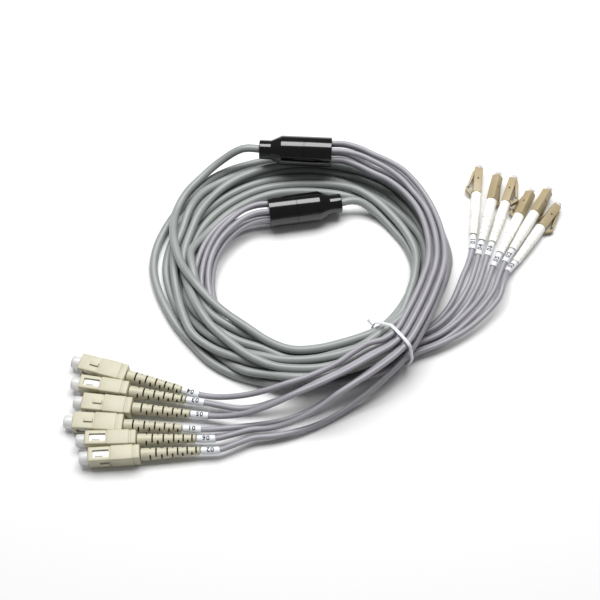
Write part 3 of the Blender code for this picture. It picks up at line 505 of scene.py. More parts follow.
    @staticmethod
    def join(name: str, pieces: Sequence[Piece]) -> Piece:
        """Makes one piece of several, which keep their materials.

        Args:
            name: the new piece's name.
            pieces: the pieces.

        Returns:
            The first piece, which now holds all of them.
        """
        Bench.clear()
        for piece in pieces:
            piece.select_set(True)
        bpy.context.view_layer.objects.active = pieces[0]
        if len(pieces) > 1:
            bpy.ops.object.join()
        pieces[0].name = name
        return pieces[0]

    @staticmethod
    def dress(piece: Piece, finishes: Sequence[Finish], angle: float = 35.0) -> Piece:
        """Gives a piece its finishes and smooth shading up to an angle, in degrees.

        Args:
            piece: the piece to dress.
            finishes: its finishes, in the order of its faces' indices.
            angle: the widest angle that is shaded smooth.

        Returns:
            The piece.
        """
        piece.data.materials.clear()
        for finish in finishes:
            piece.data.materials.append(finish.material())
        Bench.only(piece)
        bpy.ops.object.shade_smooth_by_angle(angle=math.radians(angle))
        return piece

    @staticmethod
    def copy_at(master: Piece, name: str, matrix: Matrix) -> Piece:
        """A copy of a master with a mesh of its own, which holds its place.

        Args:
            master: the shape to copy.
            name: the copy's name.
            matrix: where the copy lies.

        Returns:
            The copy.
        """
        piece = bpy.data.objects.new(name, master.data.copy())
        bpy.context.scene.collection.objects.link(piece)
        piece.data.transform(matrix)
        return piece

    @staticmethod
    def declare(piece: Piece, slot: str, nodes: Iterable[str] = ()) -> Piece:
        """Lets a piece ride on the object in place of the nodes it stands for, and logs its finish slot.

        Args:
            piece: the piece to declare.
            slot: its finish slot.
            nodes: the nodes that it stands for.

        Returns:
            The piece.
        """
        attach(piece, BODY)
        nodes = list(nodes)
        if nodes:
            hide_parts(*nodes)
        LOG.info("%s: %s", piece.name, slot)
        return piece


@dataclass(frozen=True)
class Spot:
    """Where a rigid piece lies: its front's place, the way it points, and its roll, in degrees."""

    place: tuple[float, float]
    height: float
    heading: float
    roll: float = 0.0

    def matrix(self) -> Matrix:
        """The spot as a matrix, in metres.

        Returns:
            The matrix from the piece's own frame to the shared one.
        """
        x, y = (np.array(self.place) - np.array(LAYOUT_ORIGIN)) * MM
        turn = Matrix.Rotation(math.radians(self.heading), 4, "Z")
        roll = Matrix.Rotation(math.radians(self.roll), 4, "X")
        return Matrix.Translation((x, y, self.height)) @ turn @ roll


def plan_of(points_mm: Iterable[Sequence[float]]) -> np.ndarray:
    """Places of the layout in metres."""
    return (np.array([list(point)[:2] for point in points_mm], dtype=float) - np.array(LAYOUT_ORIGIN)) * MM


def heading_vector(degrees: float) -> np.ndarray:
    """The way of a heading, as a unit vector in plan."""
    return np.array([math.cos(math.radians(degrees)), math.sin(math.radians(degrees))])


def guided(points: np.ndarray) -> np.ndarray:
    """The points with one more before the first and after the last, straight on."""
    return np.vstack([2 * points[0] - points[1], points, 2 * points[-1] - points[-2]])


def distances(line: np.ndarray) -> np.ndarray:
    """How far along a line each of its points lies."""
    return np.concatenate([[0.0], np.cumsum(np.linalg.norm(np.diff(line, axis=0), axis=1))])


def smooth_plan(points: np.ndarray, spacing: float) -> tuple[np.ndarray, np.ndarray]:
    """Evenly spaced places on one smooth curve through the given ones (centripetal Catmull-Rom).

    Args:
        points: places in plan.
        spacing: about how far apart the new places are.

    Returns:
        The new places, and where the given ones come, counted in spaces from the start.
    """
    guides = guided(points)
    dense = []
    for before, start, end, after in zip(guides, guides[1:], guides[2:], guides[3:]):
        t0 = 0.0
        t1 = t0 + math.sqrt(np.linalg.norm(start - before))
        t2 = t1 + math.sqrt(np.linalg.norm(end - start))
        t3 = t2 + math.sqrt(np.linalg.norm(after - end))
        for t in np.linspace(t1, t2, CURVE_SAMPLES, endpoint=False):
            a1 = (t1 - t) / (t1 - t0) * before + (t - t0) / (t1 - t0) * start
            a2 = (t2 - t) / (t2 - t1) * start + (t - t1) / (t2 - t1) * end
            a3 = (t3 - t) / (t3 - t2) * end + (t - t2) / (t3 - t2) * after
            b1 = (t2 - t) / (t2 - t0) * a1 + (t - t0) / (t2 - t0) * a2
            b2 = (t3 - t) / (t3 - t1) * a2 + (t - t1) / (t3 - t1) * a3
            dense.append((t2 - t) / (t2 - t1) * b1 + (t - t1) / (t2 - t1) * b2)
    dense.append(points[-1])
    dense = np.array(dense)
    along = distances(dense)
    count = max(2, round(along[-1] / spacing))
    marks = np.linspace(0.0, along[-1], count + 1)
    corners = np.column_stack([np.interp(marks, along, dense[:, axis]) for axis in (0, 1)])
    return corners, along[::CURVE_SAMPLES] / along[-1] * count


def offset_left(ribbon: Sequence[Sequence[float]], share: float) -> np.ndarray:
    """A ribbon's middle moved to the left of the way it runs, by a share of its spacing.

    Args:
        ribbon: places of its middle, each with the spacing there.
        share: how many spacings to the left.

    Returns:
        The moved places.
    """
    points = np.array(ribbon)[:, :2]
    spacing = np.array(ribbon)[:, 2:]
    ways = np.gradient(points, axis=0)
    ways /= np.linalg.norm(ways, axis=1)[:, None]
    return points + share * spacing * np.column_stack([-ways[:, 1], ways[:, 0]])


def spread(values: np.ndarray, reach: int, pick: Callable[..., np.ndarray]) -> np.ndarray:
    """Each value replaced by pick of those within reach samples of it.

    Args:
        values: the values in order.
        reach: how many samples to each side count.
        pick: what is taken of them, such as the largest.

    Returns:
        The new values.
    """
    padded = np.pad(values, reach, mode="edge")
    windows = np.lib.stride_tricks.sliding_window_view(padded, 2 * reach + 1)
    return pick(windows, axis=1)


@dataclass
class Bundle:
    """What already lies on the floor: each cord as samples of its axis with its radius."""

    places: np.ndarray = field(default_factory=lambda: np.zeros((0, 2)))
    heights: np.ndarray = field(default_factory=lambda: np.zeros(0))
    radii: np.ndarray = field(default_factory=lambda: np.zeros(0))

    def add(self, places: np.ndarray, heights: np.ndarray, radius: float) -> None:
        """Adds a cord's samples.

        Args:
            places: where its axis runs in plan.
            heights: the height of its axis at each place.
            radius: its radius.
        """
        self.places = np.vstack([self.places, places])
        self.heights = np.concatenate([self.heights, heights])
        self.radii = np.concatenate([self.radii, np.full(len(heights), radius)])

    def rest(self, places: np.ndarray, radius: float) -> np.ndarray:
        """The least height of an axis at each place that clears all that lies there.

        Args:
            places: where the axis runs in plan.
            radius: the radius round the axis.

        Returns:
            One height for each place.
        """
        least = floor_height(places) + radius
        if not len(self.heights):
            return least
        reach = radius + self.radii + STRAND_GAP
        for index, place in enumerate(places):
            apart = np.linalg.norm(self.places - place, axis=1)
            near = apart < reach
            if near.any():
                lift = np.sqrt(reach[near] ** 2 - apart[near] ** 2)
                least[index] = max(least[index], (self.heights[near] + lift).max())
        return least


def tie_line() -> tuple[np.ndarray, np.ndarray, np.ndarray, float]:
    """The tie's inner end on the floor, the ways along and across it, and its span.

    Returns:
        The end in metres, the two ways as unit vectors, and the span in metres.
    """
    inner, outer = plan_of([TIE_INNER, TIE_OUTER])
    span = float(np.linalg.norm(outer - inner))
    way = (outer - inner) / span
    return inner, way, np.array([-way[1], way[0]]), span


def floor_height(places: np.ndarray) -> np.ndarray:
    """Zero, and the tie's thickness where it passes under the bundle.

    Args:
        places: places in plan.

    Returns:
        One height for each place.
    """
    inner, way, across, span = tie_line()
    offsets = places - inner
    along = offsets @ way
    under = np.abs(offsets @ across) < TIE_GRIP / 2
    under &= (along > -TIE_GRIP) & (along < span + TIE_GRIP)
    return np.where(under, TIE_THICKNESS + CLEARANCE, 0.0)


def eased(share: np.ndarray) -> np.ndarray:
    """A share from 0 to 1 that starts and ends gently."""
    return 3 * share ** 2 - 2 * share ** 3


def lay(plan: np.ndarray, ends: tuple[float, float], bundle: Bundle) -> np.ndarray:
    """Lays a leg along a plan on top of the bundle, and adds it there.

    Args:
        plan: the leg's way on the floor.
        ends: the heights of its two ends.
        bundle: what lies there.

    Returns:
        The points of its axis.
    """
    radius = LEG_DIAMETER / 2
    corners, _ = smooth_plan(plan, LEG_STEP)
    parts = max(2, round(LEG_STEP / LAY_SAMPLE))
    marks = np.arange((len(corners) - 1) * parts + 1) / parts
    samples = np.column_stack([np.interp(marks, np.arange(len(corners)), corners[:, k]) for k in (0, 1)])
    along = marks * LEG_STEP
    least = bundle.rest(samples, radius)
    for height, away in ((ends[0], along), (ends[1], along[::-1])):
        share = np.clip(away / LEG_DROOP, 0.0, 1.0)
        least = np.maximum(least, height + (radius - height) * eased(share))
    ease = round(LAY_EASE / LAY_SAMPLE)
    least = spread(spread(least, ease, np.max), ease, np.mean)
    tops = settle_ends(spread(least, parts, np.max)[::parts], ends, LEG_STEP)
    bundle.add(samples, np.interp(marks, np.arange(len(tops)), tops), radius)
    return np.column_stack([corners, tops])


def settle_ends(heights: np.ndarray, ends: tuple[float, float], spacing: float) -> np.ndarray:
    """The heights led to the exact heights of the two ends.

    Args:
        heights: the height of an axis at each of its places.
        ends: the heights of its two ends.
        spacing: how far apart the places are.

    Returns:
        The new heights.
    """
    for height, away in ((ends[0], np.arange(len(heights))), (ends[1], np.arange(len(heights))[::-1])):
        share = np.clip(away * spacing / END_REACH, 0.0, 1.0)
        heights = height + (heights - height) * eased(share)
    return heights


def near_pairs(
    places: np.ndarray, others: np.ndarray, reach: float, skip: int = 0,
) -> tuple[np.ndarray, np.ndarray]:
    """Pairs of places nearer than a reach in plan, leaving out those less than skip places apart.

    Args:
        places: the first places.
        others: the places to pair them with.
        reach: how near they have to be.
        skip: how many neighbours along the same cord are left out.

    Returns:
        The indices of the first and of the second of each pair.
    """
    first, second = [], []
    for index, place in enumerate(places):
        start = index + skip if skip else 0
        near = start + np.nonzero(np.linalg.norm(others[start:] - place, axis=1) < reach)[0]
        first.extend([index] * len(near))
        second.extend(near)
    return np.array(first, dtype=int), np.array(second, dtype=int)


def parted(gap: np.ndarray, reach: float | np.ndarray) -> np.ndarray:
    """How far each pair has to move apart to be its reach apart, as a vector."""
    apart = np.maximum(np.linalg.norm(gap, axis=1), 1e-6)
    return gap * (np.maximum(reach - apart, 0.0) / apart)[:, None]


def sink(plan: np.ndarray, layers: np.ndarray, ends: tuple[float, float], bundle: Bundle) -> np.ndarray:
    """Lets the trunk sink from its layers until it lies on the bundle and on its own lower turns.

    It keeps its stiffness and its plan while strands that meet push each other aside.

    Args:
        plan: its way on the floor.
        layers: its layer at each place of the plan.
        ends: the heights of its two ends.
        bundle: what lies there already; the trunk is added.

    Returns:
        The points of its axis.
    """
    corners, marks_at = smooth_plan(plan, TRUNK_STEP)
    radius = TRUNK_DIAMETER / 2
    count = len(corners)
    levels = np.interp(np.arange(count), marks_at, layers)
    points = np.column_stack([corners, bundle.rest(corners, radius) + (levels - 1) * LAYER_PITCH])
    pinned = [(0, ends[0]), (1, ends[0]), (count - 2, ends[1]), (count - 1, ends[1])]
    for index, height in pinned:
        points[index, 2] = height
    planned = points.copy()
    planned_bends = (corners[:-2] + corners[2:]) / 2 - corners[1:-1]
    marks = np.arange((count - 1) * SINK_PARTS + 1) / SINK_PARTS
    weights = np.maximum(1.0 - np.abs(marks[:, None] - np.arange(count)), 0.0)
    shares = weights.sum(axis=0)[:, None]
    samples = weights @ points
    upper, lower = near_pairs(samples[:, :2], samples[:, :2], MEETING_REACH, NEIGHBOUR_STEPS * SINK_PARTS)
    over, under = near_pairs(samples[:, :2], bundle.places, MEETING_REACH)
    still = np.column_stack([bundle.places, bundle.heights])[under]
    still_reach = radius + bundle.radii[under] + STRAND_GAP
    for number in range(SINK_ROUNDS):
        if number < SINK_ROUNDS - SINK_LAST_ROUNDS:
            points[:, 2] -= SINK_FALL
            points[:, :2] += PLAN_HOLD * (planned[:, :2] - points[:, :2])
            bends = (points[:-2] + points[2:]) / 2 - points[1:-1]
            bends[:, :2] -= planned_bends
            points[1:-1] += STIFFNESS * bends
        for _ in range(SINK_PUSHES):
            samples = weights @ points
            move = np.zeros_like(samples)
            push = parted(samples[upper] - samples[lower], 2 * radius + STRAND_GAP) / 2
            np.add.at(move, upper, push)
            np.add.at(move, lower, -push)
            np.add.at(move, over, parted(samples[over] - still, still_reach))
            move[:, 2] += np.maximum(radius + floor_height(samples[:, :2]) - samples[:, 2], 0.0)
            points += weights.T @ move / shares
            points[:, 2] = np.maximum(points[:, 2], radius)
            for index, height in pinned:
                points[index] = (*corners[index], height)
    samples = weights @ points
    bundle.add(samples[:, :2], samples[:, 2], radius)
    return points


def trunk_plan(start: np.ndarray, start_way: np.ndarray, end: np.ndarray,
               end_way: np.ndarray) -> tuple[np.ndarray, np.ndarray]:
    """The trunk's way round the coil from the upper neck to the lower one: places and layers.

    Args:
        start: its first place.
        start_way: the way out of the upper neck.
        end: its last place.
        end_way: the way out of the lower neck.

    Returns:
        The places, in millimetres, and the layer at each.
    """
    stations = [(turn, *station) for turn, station in FIRST_TURN.items()]
    for number, turn in enumerate(WHOLE_TURNS, start=1):
        stations += [(360 * number + STATION_DEGREES * step, *station) for step, station in enumerate(turn)]
    last = 360 * (len(WHOLE_TURNS) + 1)
    stations += [(last + turn, *station) for turn, station in LAST_TURN.items()]
    ring = [np.array(COIL_CENTRE) + radius * heading_vector(turn) for turn, radius, _ in stations]
    layers = [layer for _, _, layer in stations]
    straight = TRUNK_STEP / MM
    places = np.array([start, start + straight * start_way, *ring, end + straight * end_way, end])
    return places, np.array([layers[0]] * 2 + layers + [layers[-1]] * 2, dtype=float)


class CableLayout:
    """Works out where the cords and the upper splitter lie, by the same steps as the solids."""

    def __init__(self, splitter: SplitterHousing, square_spots: Sequence[Spot], latch_spots: Sequence[Spot],
                 square_reach: float, latch_reach: float) -> None:
        """Keeps what the cords go between; `lay_all` lays them.

        Args:
            splitter: the housing that both splitters have.
            square_spots: where the square plugs lie.
            latch_spots: where the latch plugs lie.
            square_reach: how far a square plug's boot reaches back.
            latch_reach: how far a latch plug's boot reaches back.
        """
        self.splitter = splitter
        self.square_ends = [(spot, square_reach) for spot in square_spots]
        self.latch_ends = [(spot, latch_reach) for spot in latch_spots]
        self.bundle = Bundle()
        self.lower_spot = Spot(LOWER_NECK, splitter.outer_radius, LOWER_HEADING)
        self.upper_spot = self.lower_spot
        self.trunk = np.zeros((0, 3))
        self.lower_legs: dict[int, np.ndarray] = {}
        self.upper_legs: dict[int, np.ndarray] = {}

    @staticmethod
    def seen_from(spot: Spot, place: Sequence[float]) -> tuple[np.ndarray, float]:
        """A place in a spot's own frame, as a layout place in millimetres and a height in metres."""
        point = spot.matrix() @ Vector(place)
        return np.array(point.xy) / MM + np.array(LAYOUT_ORIGIN), point.z

    def lay_legs(self, splitter: Spot, ribbon: Sequence[Sequence[float]], side: int,
                 fans: Sequence[Sequence[Sequence[float]]], plugs: Sequence[tuple[Spot, float]],
                 holes: Sequence[int], order: Sequence[int]) -> dict[int, np.ndarray]:
        """Lays six legs from a splitter along a ribbon, and then each along its own fan to its plug.

        Args:
            splitter: where the splitter lies.
            ribbon: the way that the legs share.
            side: the side of the ribbon that the first leg lies on, 1 or -1.
            fans: each leg's own way after the ribbon.
            plugs: where each plug lies and how far its boot reaches back.
            holes: the hole that each leg leaves by.
            order: the order in which they are laid.

        Returns:
            The axis of each leg, by its index.
        """
        routes = {}
        for index in order:
            turn = math.radians(HOLE_DEGREES * holes[index])
            y, z = self.splitter.hole_circle * math.cos(turn), self.splitter.hole_circle * math.sin(turn)
            seat, start_height = self.seen_from(
                splitter, (self.splitter.rear - self.splitter.hole_depth + CLEARANCE, y, z))
            out, _ = self.seen_from(splitter, (self.splitter.rear + 3 * LEG_DIAMETER, y, z))
            spot, reach = plugs[index]
            end, end_height = self.seen_from(spot, (reach + CLEARANCE, 0.0, 0.0))
            before, _ = self.seen_from(spot, (reach + 4 * LEG_DIAMETER, 0.0, 0.0))
            middle = offset_left(ribbon, side * (index - (LEGS_PER_SPLITTER - 1) / 2))
            plan = plan_of([seat, out, *middle, *fans[index], before, end])
            routes[index] = lay(plan, (start_height, end_height), self.bundle)
        return routes

    def seat_on(self, under: Bundle) -> float:
        """The height of the upper splitter's axis that lies on the cords under it.

        Args:
            under: the cords under it.

        Returns:
            The height.
        """
        marks = np.arange(0.0, self.splitter.rear / MM, 1.0)
        places = plan_of([np.array(UPPER_NECK) + mark * heading_vector(UPPER_HEADING) for mark in marks])
        return float(under.rest(places, self.splitter.outer_radius).max())

    def lay_all(self) -> None:
        """Lays the lower legs, the trunk on them, and the upper legs on both."""
        outer = self.splitter.outer_radius
        self.lower_legs = self.lay_legs(
            self.lower_spot, LOWER_RIBBON, -1, LOWER_FANS, self.latch_ends, LOWER_HOLES, LOWER_ORDER)
        before = self.bundle
        height = 2 * outer
        for _ in range(SEATING_ROUNDS):
            self.bundle = Bundle(before.places, before.heights, before.radii)
            up_way, low_way = heading_vector(UPPER_HEADING + 180), heading_vector(LOWER_HEADING + 180)
            seat = (self.splitter.seat_depth - CLEARANCE) / MM
            plan, layers = trunk_plan(
                np.array(UPPER_NECK) - seat * up_way, up_way, np.array(LOWER_NECK) - seat * low_way, low_way)
            self.trunk = sink(plan_of(plan), layers, (height, outer), self.bundle)
            taken = SINK_PARTS * (len(self.trunk) - EXIT_STEPS)
            under = Bundle()
            under.add(self.bundle.places[-taken:], self.bundle.heights[-taken:], TRUNK_DIAMETER / 2)
            height = self.seat_on(under)
        self.upper_spot = Spot(UPPER_NECK, height, UPPER_HEADING)
        self.upper_legs = self.lay_legs(
            self.upper_spot, UPPER_RIBBON, 1, UPPER_FANS, self.square_ends, UPPER_HOLES, UPPER_ORDER)


def smooth_line(points: np.ndarray, parts: int) -> np.ndarray:
    """A finer line on one smooth curve through the points of a cord's axis.

    Args:
        points: the axis as it is laid.
        parts: how many steps each stretch is cut into.

    Returns:
        The finer line, from the same first point to the same last one.
    """
    padded = guided(points)
    share = np.linspace(0.0, 1.0, parts, endpoint=False)[:, None]
    line = []
    for p0, p1, p2, p3 in zip(padded, padded[1:], padded[2:], padded[3:]):
        line.append(p1 + 0.5 * share * (p2 - p0 + share * (
            2 * p0 - 5 * p1 + 4 * p2 - p3 + share * (3 * (p1 - p2) + p3 - p0))))
    return np.vstack([*line, points[-1:]])


@dataclass
class CordRun:
    """One cord along its laid axis."""

    name: str
    node: str
    points: np.ndarray
    diameter: float
    finish: Finish
    slot: str
    lay: Lay
    line_parts: int = 4
    rounding: int = 4

    def line(self) -> np.ndarray:
        """The cord's smooth axis, which stays on the floor.

        Returns:
            The points of the axis, from the cord's exit to its far end.
        """
        line = smooth_line(self.points, self.line_parts)
        line[:, 2] = np.maximum(line[:, 2], self.diameter / 2)
        return line

    def build(self) -> Piece:
        """Makes the cord as a round curve with closed ends, in place of its solid.

        Returns:
            The cord's piece.
        """
        Bench.clear()
        piece = Bench.tube(self.name, self.line(), self.diameter / 2, self.rounding)
        piece.data.materials.append(self.finish.material())
        return Bench.declare(piece, self.slot, [self.node])

    def free(self, piece: Piece, end: str, on_it: Sequence[Piece]) -> None:
        """Args:
            piece: the cord's piece; not used.
            end: what its far end meets; not used.
            on_it: the pieces on it; not used.
        """
        line = self.line()


@dataclass
class SplitterHousing:
    """A turned black housing where the trunk fans out into six legs."""

    sides: int = 64
    neck_radius: float = 0.00535
    neck_length: float = 0.0065
    cone_length: float = 0.0058
    outer_radius: float = 0.00825
    front_length: float = 0.0124
    cap_length: float = 0.0153
    rim: float = 0.0004
    seat_radius: float = 0.0025
    seat_depth: float = 0.004
    hole_radius: float = 0.0018
    hole_depth: float = 0.003
    hole_circle: float = 0.00525
    seam_gap: float = CLEARANCE
    seam_edge: float = 0.00008

    @property
    def rear(self) -> float:
        """How far the rear face stands from the neck's front."""
        return self.neck_length + self.cone_length + self.front_length + self.seam_gap + self.cap_length

    def build(self, name: str, spot: Spot) -> list[Piece]:
        """Makes the body and the rear cap with its six leg holes.

        Args:
            name: the housing's name, as its nodes have it.
            spot: where its neck is and which way it points.

        Returns:
            The two pieces.
        """
        seam = self.neck_length + self.cone_length + self.front_length + self.seam_gap / 2
        rim, outer, neck = self.rim, self.outer_radius, self.neck_radius
        edge = self.seam_edge
        cone = self.neck_length + self.cone_length
        body = Bench.lathe(f"{name}_body_shell", [
            (self.seat_depth, self.seat_radius * 0.2), (self.seat_depth, self.seat_radius),
            (rim, self.seat_radius), (0.0, self.seat_radius + rim), (0.0, neck - rim),
            (rim * 0.3, neck - rim * 0.3), (rim, neck),
            (self.neck_length - rim / 2, neck), (self.neck_length, neck + rim / 8),
            (cone - rim / 2, outer - rim / 4), (cone + rim / 2, outer), (seam - edge, outer),
            (seam, outer - edge), (seam, outer * 0.3),
        ], self.sides)
        start = seam + self.seam_gap / 5
        cap = Bench.lathe(f"{name}_rear_cap_shell", [
            (start, outer * 0.3), (start, outer - edge), (start + edge, outer), (self.rear - rim, outer),
            (self.rear - rim * 0.3, outer - rim * 0.3),
            (self.rear, outer - rim), (self.rear, outer * 0.2),
        ], self.sides)
        for step in range(LEGS_PER_SPLITTER):
            turn = math.radians(HOLE_DEGREES * step)
            hole = Bench.lathe("leg_hole", [
                (self.rear - self.hole_depth, self.hole_radius), (self.rear - 0.3 * MM, self.hole_radius),
                (self.rear + 0.3 * MM, self.hole_radius + 0.6 * MM),
                (self.rear + 2 * MM, self.hole_radius + MM),
            ], 24)
            hole.data.transform(Matrix.Translation((
                0.0, self.hole_circle * math.cos(turn), self.hole_circle * math.sin(turn),
            )))
            Bench.combine(cap, "DIFFERENCE", hole)
        pieces = []
        for piece, node in ((body, f"{name}_body"), (cap, f"{name}_rear_cap")):
            piece.data.transform(spot.matrix())
            Bench.dress(piece, [BLACK_GLOSS], 30.0)
            pieces.append(Bench.declare(piece, "black_anodised", [node]))
        return pieces


@dataclass
class Boot:
    """A tapered boot with rings of slots, which alternate a quarter turn."""

    length: float
    front_radius: float
    rear_radius: float
    collar: float
    rings: int
    first_pitch: float
    last_pitch: float
    slot_width: float
    slot_sink: float
    sides: int = 32
    lip: float = 0.0003
    slot_half_degrees: float = 52.0

    def slot_places(self) -> list[float]:
        """The distance of each ring of slots from the boot's front.

        Returns:
            The distances, from the front on.
        """
        pitches = np.linspace(self.first_pitch, self.last_pitch, self.rings)
        places = self.collar + 0.6 * self.first_pitch + np.concatenate([[0.0], np.cumsum(pitches)[:-1]])
        return [float(place) for place in places if place < self.length - 2 * self.slot_width]

    def radius_at(self, place: float) -> float:
        """The boot's radius at a distance from its front."""
        share = max(0.0, (place - self.collar) / (self.length - self.collar))
        return self.front_radius + share * (self.rear_radius - self.front_radius)

    def build(self, start: float, finish: Finish, slit_shade: Finish) -> Piece:
        """Turns the boot, sinks its slots and paints their drawn-in faces with the slit-shade finish.

        Args:
            start: where the boot begins along its plug.
            finish: the boot's finish.
            slit_shade: the finish painted on the slots' drawn-in faces as their shade; the boot's own finish
                where no shade is painted.

        Returns:
            The boot, in its plug's own frame.
        """
        lip = self.lip
        profile = [(0.0, self.front_radius * 0.5), (0.0, self.front_radius - lip), (lip, self.front_radius),
                   (self.collar - lip, self.front_radius)]
        for place in self.slot_places():
            for edge in (place - self.slot_width / 2, place + self.slot_width / 2):
                profile.append((edge, self.radius_at(edge)))
        profile += [(self.length - lip, self.rear_radius), (self.length, self.rear_radius - lip),
                    (self.length, self.rear_radius * 0.8)]
        boot = Bench.lathe("boot", profile, self.sides)
        places = self.slot_places()
        half = math.radians(self.slot_half_degrees)

        def in_slot(middle: Vector, normal: Vector) -> bool:
            """Whether a face lies in a slot.

            Args:
                middle: the face's middle.
                normal: the face's normal.

            Returns:
                Whether it is on a ring of slots and within the slots' width round the axis.
            """
            if abs(normal.x) > 0.6:
                return False
            for number, place in enumerate(places):
                if abs(middle.x - place) < 0.3 * self.slot_width:
                    turn = math.atan2(middle.y, middle.z) + (math.pi / 2 if number % 2 else 0.0)
                    return abs(math.sin(turn)) < math.sin(half)
            return False

        Bench.draw_in(boot, in_slot, self.slot_sink)
        # Painted shade: the drawn-in faces at the bottom of each slot take the second finish, dark brown on
        # the square plugs' boots, in place of the shade there
        Bench.dress(boot, [finish, slit_shade], 40.0)
        for face in boot.data.polygons:
            slit_shade_face = math.hypot(face.center.y, face.center.z) < 0.97 * self.radius_at(face.center.x)
            if slit_shade_face and any(abs(face.center.x - place) < 0.6 * self.slot_width for place in places):
                face.material_index = 1
        boot.data.transform(Matrix.Translation((start, 0.0, 0.0)))
        return boot


def dust_cap(name: str, radius: float, length: float, stem: float, stem_length: float) -> Piece:
    """A rounded dust cap that stands in front of its plug, with its stem inside.

    Args:
        name: the piece's name.
        radius: its radius.
        length: how far it stands in front of the plug.
        stem: the radius of its stem.
        stem_length: how far the stem goes in.

    Returns:
        The cap.
    """
    round_off = radius * 0.22
    cap = Bench.lathe(name, [
        (-length + round_off * 0.25, radius * 0.45), (-length, radius * 0.62), (-length, radius - round_off),
        (-length + round_off * 0.3, radius - round_off * 0.3), (-length + round_off, radius),
        (-length * 0.45, radius * 0.97), (-round_off, radius), (-round_off * 0.3, radius - round_off * 0.3),
        (0.0, radius - round_off), (0.0, stem), (stem_length, stem * 0.95), (stem_length, stem * 0.3),
    ], 40)
    return Bench.dress(cap, [CLEAR_CAP], 40.0)


class Plug:
    """What the two kinds of plug share."""

    length: float
    boot: Boot

    @property
    def reach(self) -> float:
        """How far the boot's end stands behind the plug's front."""
        return self.length + CLEARANCE + self.boot.length


@dataclass
class SquarePlug(Plug):
    """A square push-pull plug: coupling housing, inner plug, dust cap and slotted boot."""

    length: float = 0.025
    width: float = 0.0090
    height: float = 0.0074
    ridge: float = 0.0002
    edge: float = 0.0006
    wall: float = 0.0008
    front_length: float = 0.0104
    rim_length: float = 0.0030
    groove: float = 0.0005
    window_start: float = 0.0022
    window_length: float = 0.0080
    window_height: float = 0.0038
    key_start: float = 0.0056
    key_length: float = 0.0046
    key_width: float = 0.0022
    key_height: float = 0.0009
    setback: float = 0.0008
    cap_radius: float = 0.0033
    cap_length: float = 0.0046
    boot: Boot = field(default_factory=lambda: Boot(
        length=0.0287, front_radius=0.0030, rear_radius=0.00205, collar=0.0030, rings=11,
        first_pitch=0.00285, last_pitch=0.0019, slot_width=0.0008, slot_sink=0.62,
    ))

    def spot(self, place: tuple[float, float], heading: float, roll: float) -> Spot:
        """Where the plug lies: flat, or on its side."""
        standing = (self.width if roll else self.height) / 2
        return Spot(place, standing + self.ridge, heading, roll)

    def housing(self) -> Piece:
        """The coupling housing, with its grip, rim, key, windows and open front.

        Returns:
            The housing, in its plug's own frame.
        """
        half_y, half_z, edge = self.width / 2, self.height / 2, self.edge
        rim_start = self.length - self.rim_length
        front = Bench.box("housing", (0.0, -half_y, -half_z), (self.front_length, half_y, half_z), edge)
        neck = 0.15 * MM
        core = Bench.box(
            "core", (edge, neck - half_y, neck - half_z),
            (self.length - edge, half_y - neck, half_z - neck), edge,
        )
        grow = self.ridge
        grip = Bench.box(
            "grip", (self.front_length + 0.25 * MM, -half_y - grow, -half_z - grow),
            (rim_start - self.groove / 2, half_y + grow, half_z + grow), edge,
        )
        rim = Bench.box("rim", (rim_start, -half_y, -half_z), (self.length, half_y, half_z), edge)
        for part in (core, grip, rim):
            Bench.combine(front, "UNION", part)
        key = Bench.box(
            "key", (self.key_start, -self.key_width / 2, half_z - self.wall / 2),
            (self.key_start + self.key_length, self.key_width / 2, half_z + self.key_height), 0.25 * MM,
        )
        Bench.combine(front, "UNION", key)
        cavity = Bench.box(
            "cavity", (-MM, self.wall - half_y, self.wall - half_z),
            (self.length - self.wall, half_y - self.wall, half_z - self.wall), 0.3 * MM,
        )
        Bench.combine(front, "DIFFERENCE", cavity)
        window = Bench.box(
            "window", (self.window_start, -half_y - MM, -self.window_height / 2),
            (self.window_start + self.window_length, half_y + MM, self.window_height / 2), 0.3 * MM,
        )
        Bench.combine(front, "DIFFERENCE", window)
        return Bench.dress(front, [CREAM_PLASTIC], 35.0)

    def plug_body(self) -> Piece:
        """The white inner plug that shows in the windows, with its latch ramps.

        Returns:
            The inner plug, in its plug's own frame.
        """
        inner_y = self.width / 2 - self.wall - CLEARANCE
        inner_z = self.height / 2 - self.wall - CLEARANCE
        body = Bench.box("plug_body", (self.setback, -inner_y, -inner_z),
                         (self.length - self.wall - CLEARANCE, inner_y, inner_z), 0.4 * MM)
        ramp = Bench.box("ramp", (self.window_start + 1.2 * MM, -inner_y - 0.5 * MM, -1.2 * MM),
                         (self.window_start + 5.2 * MM, inner_y + 0.5 * MM, 1.2 * MM), 0.3 * MM)
        Bench.combine(body, "UNION", ramp)
        mouth = Bench.lathe("mouth", [
            (-MM, 0.6 * MM), (-MM, 2.1 * MM), (7.0 * MM, 2.1 * MM), (7.0 * MM, 0.6 * MM),
        ], 32)
        Bench.combine(body, "DIFFERENCE", mouth)
        return Bench.dress(body, [WHITE_PLUG], 35.0)

    def masters(self) -> list[tuple[str, Piece, str]]:
        """Each part of the plug, made once: its name, its shape and its finish slot.

        Returns:
            The name, the shape and the slot of each part.
        """
        cap = dust_cap("dust_cap", self.cap_radius, self.cap_length, 0.0019, 0.006)
        # The boot's slots get the dark brown as painted shade
        boot = self.boot.build(self.length + CLEARANCE, CREAM_PLASTIC, SLIT_SHADE_AND_MARK)
        return [
            ("housing", self.housing(), "sc_cream"), ("plug_body", self.plug_body(), "plug_white"),
            ("dust_cap", cap, "clear_cap"), ("boot", boot, "sc_cream"),
        ]


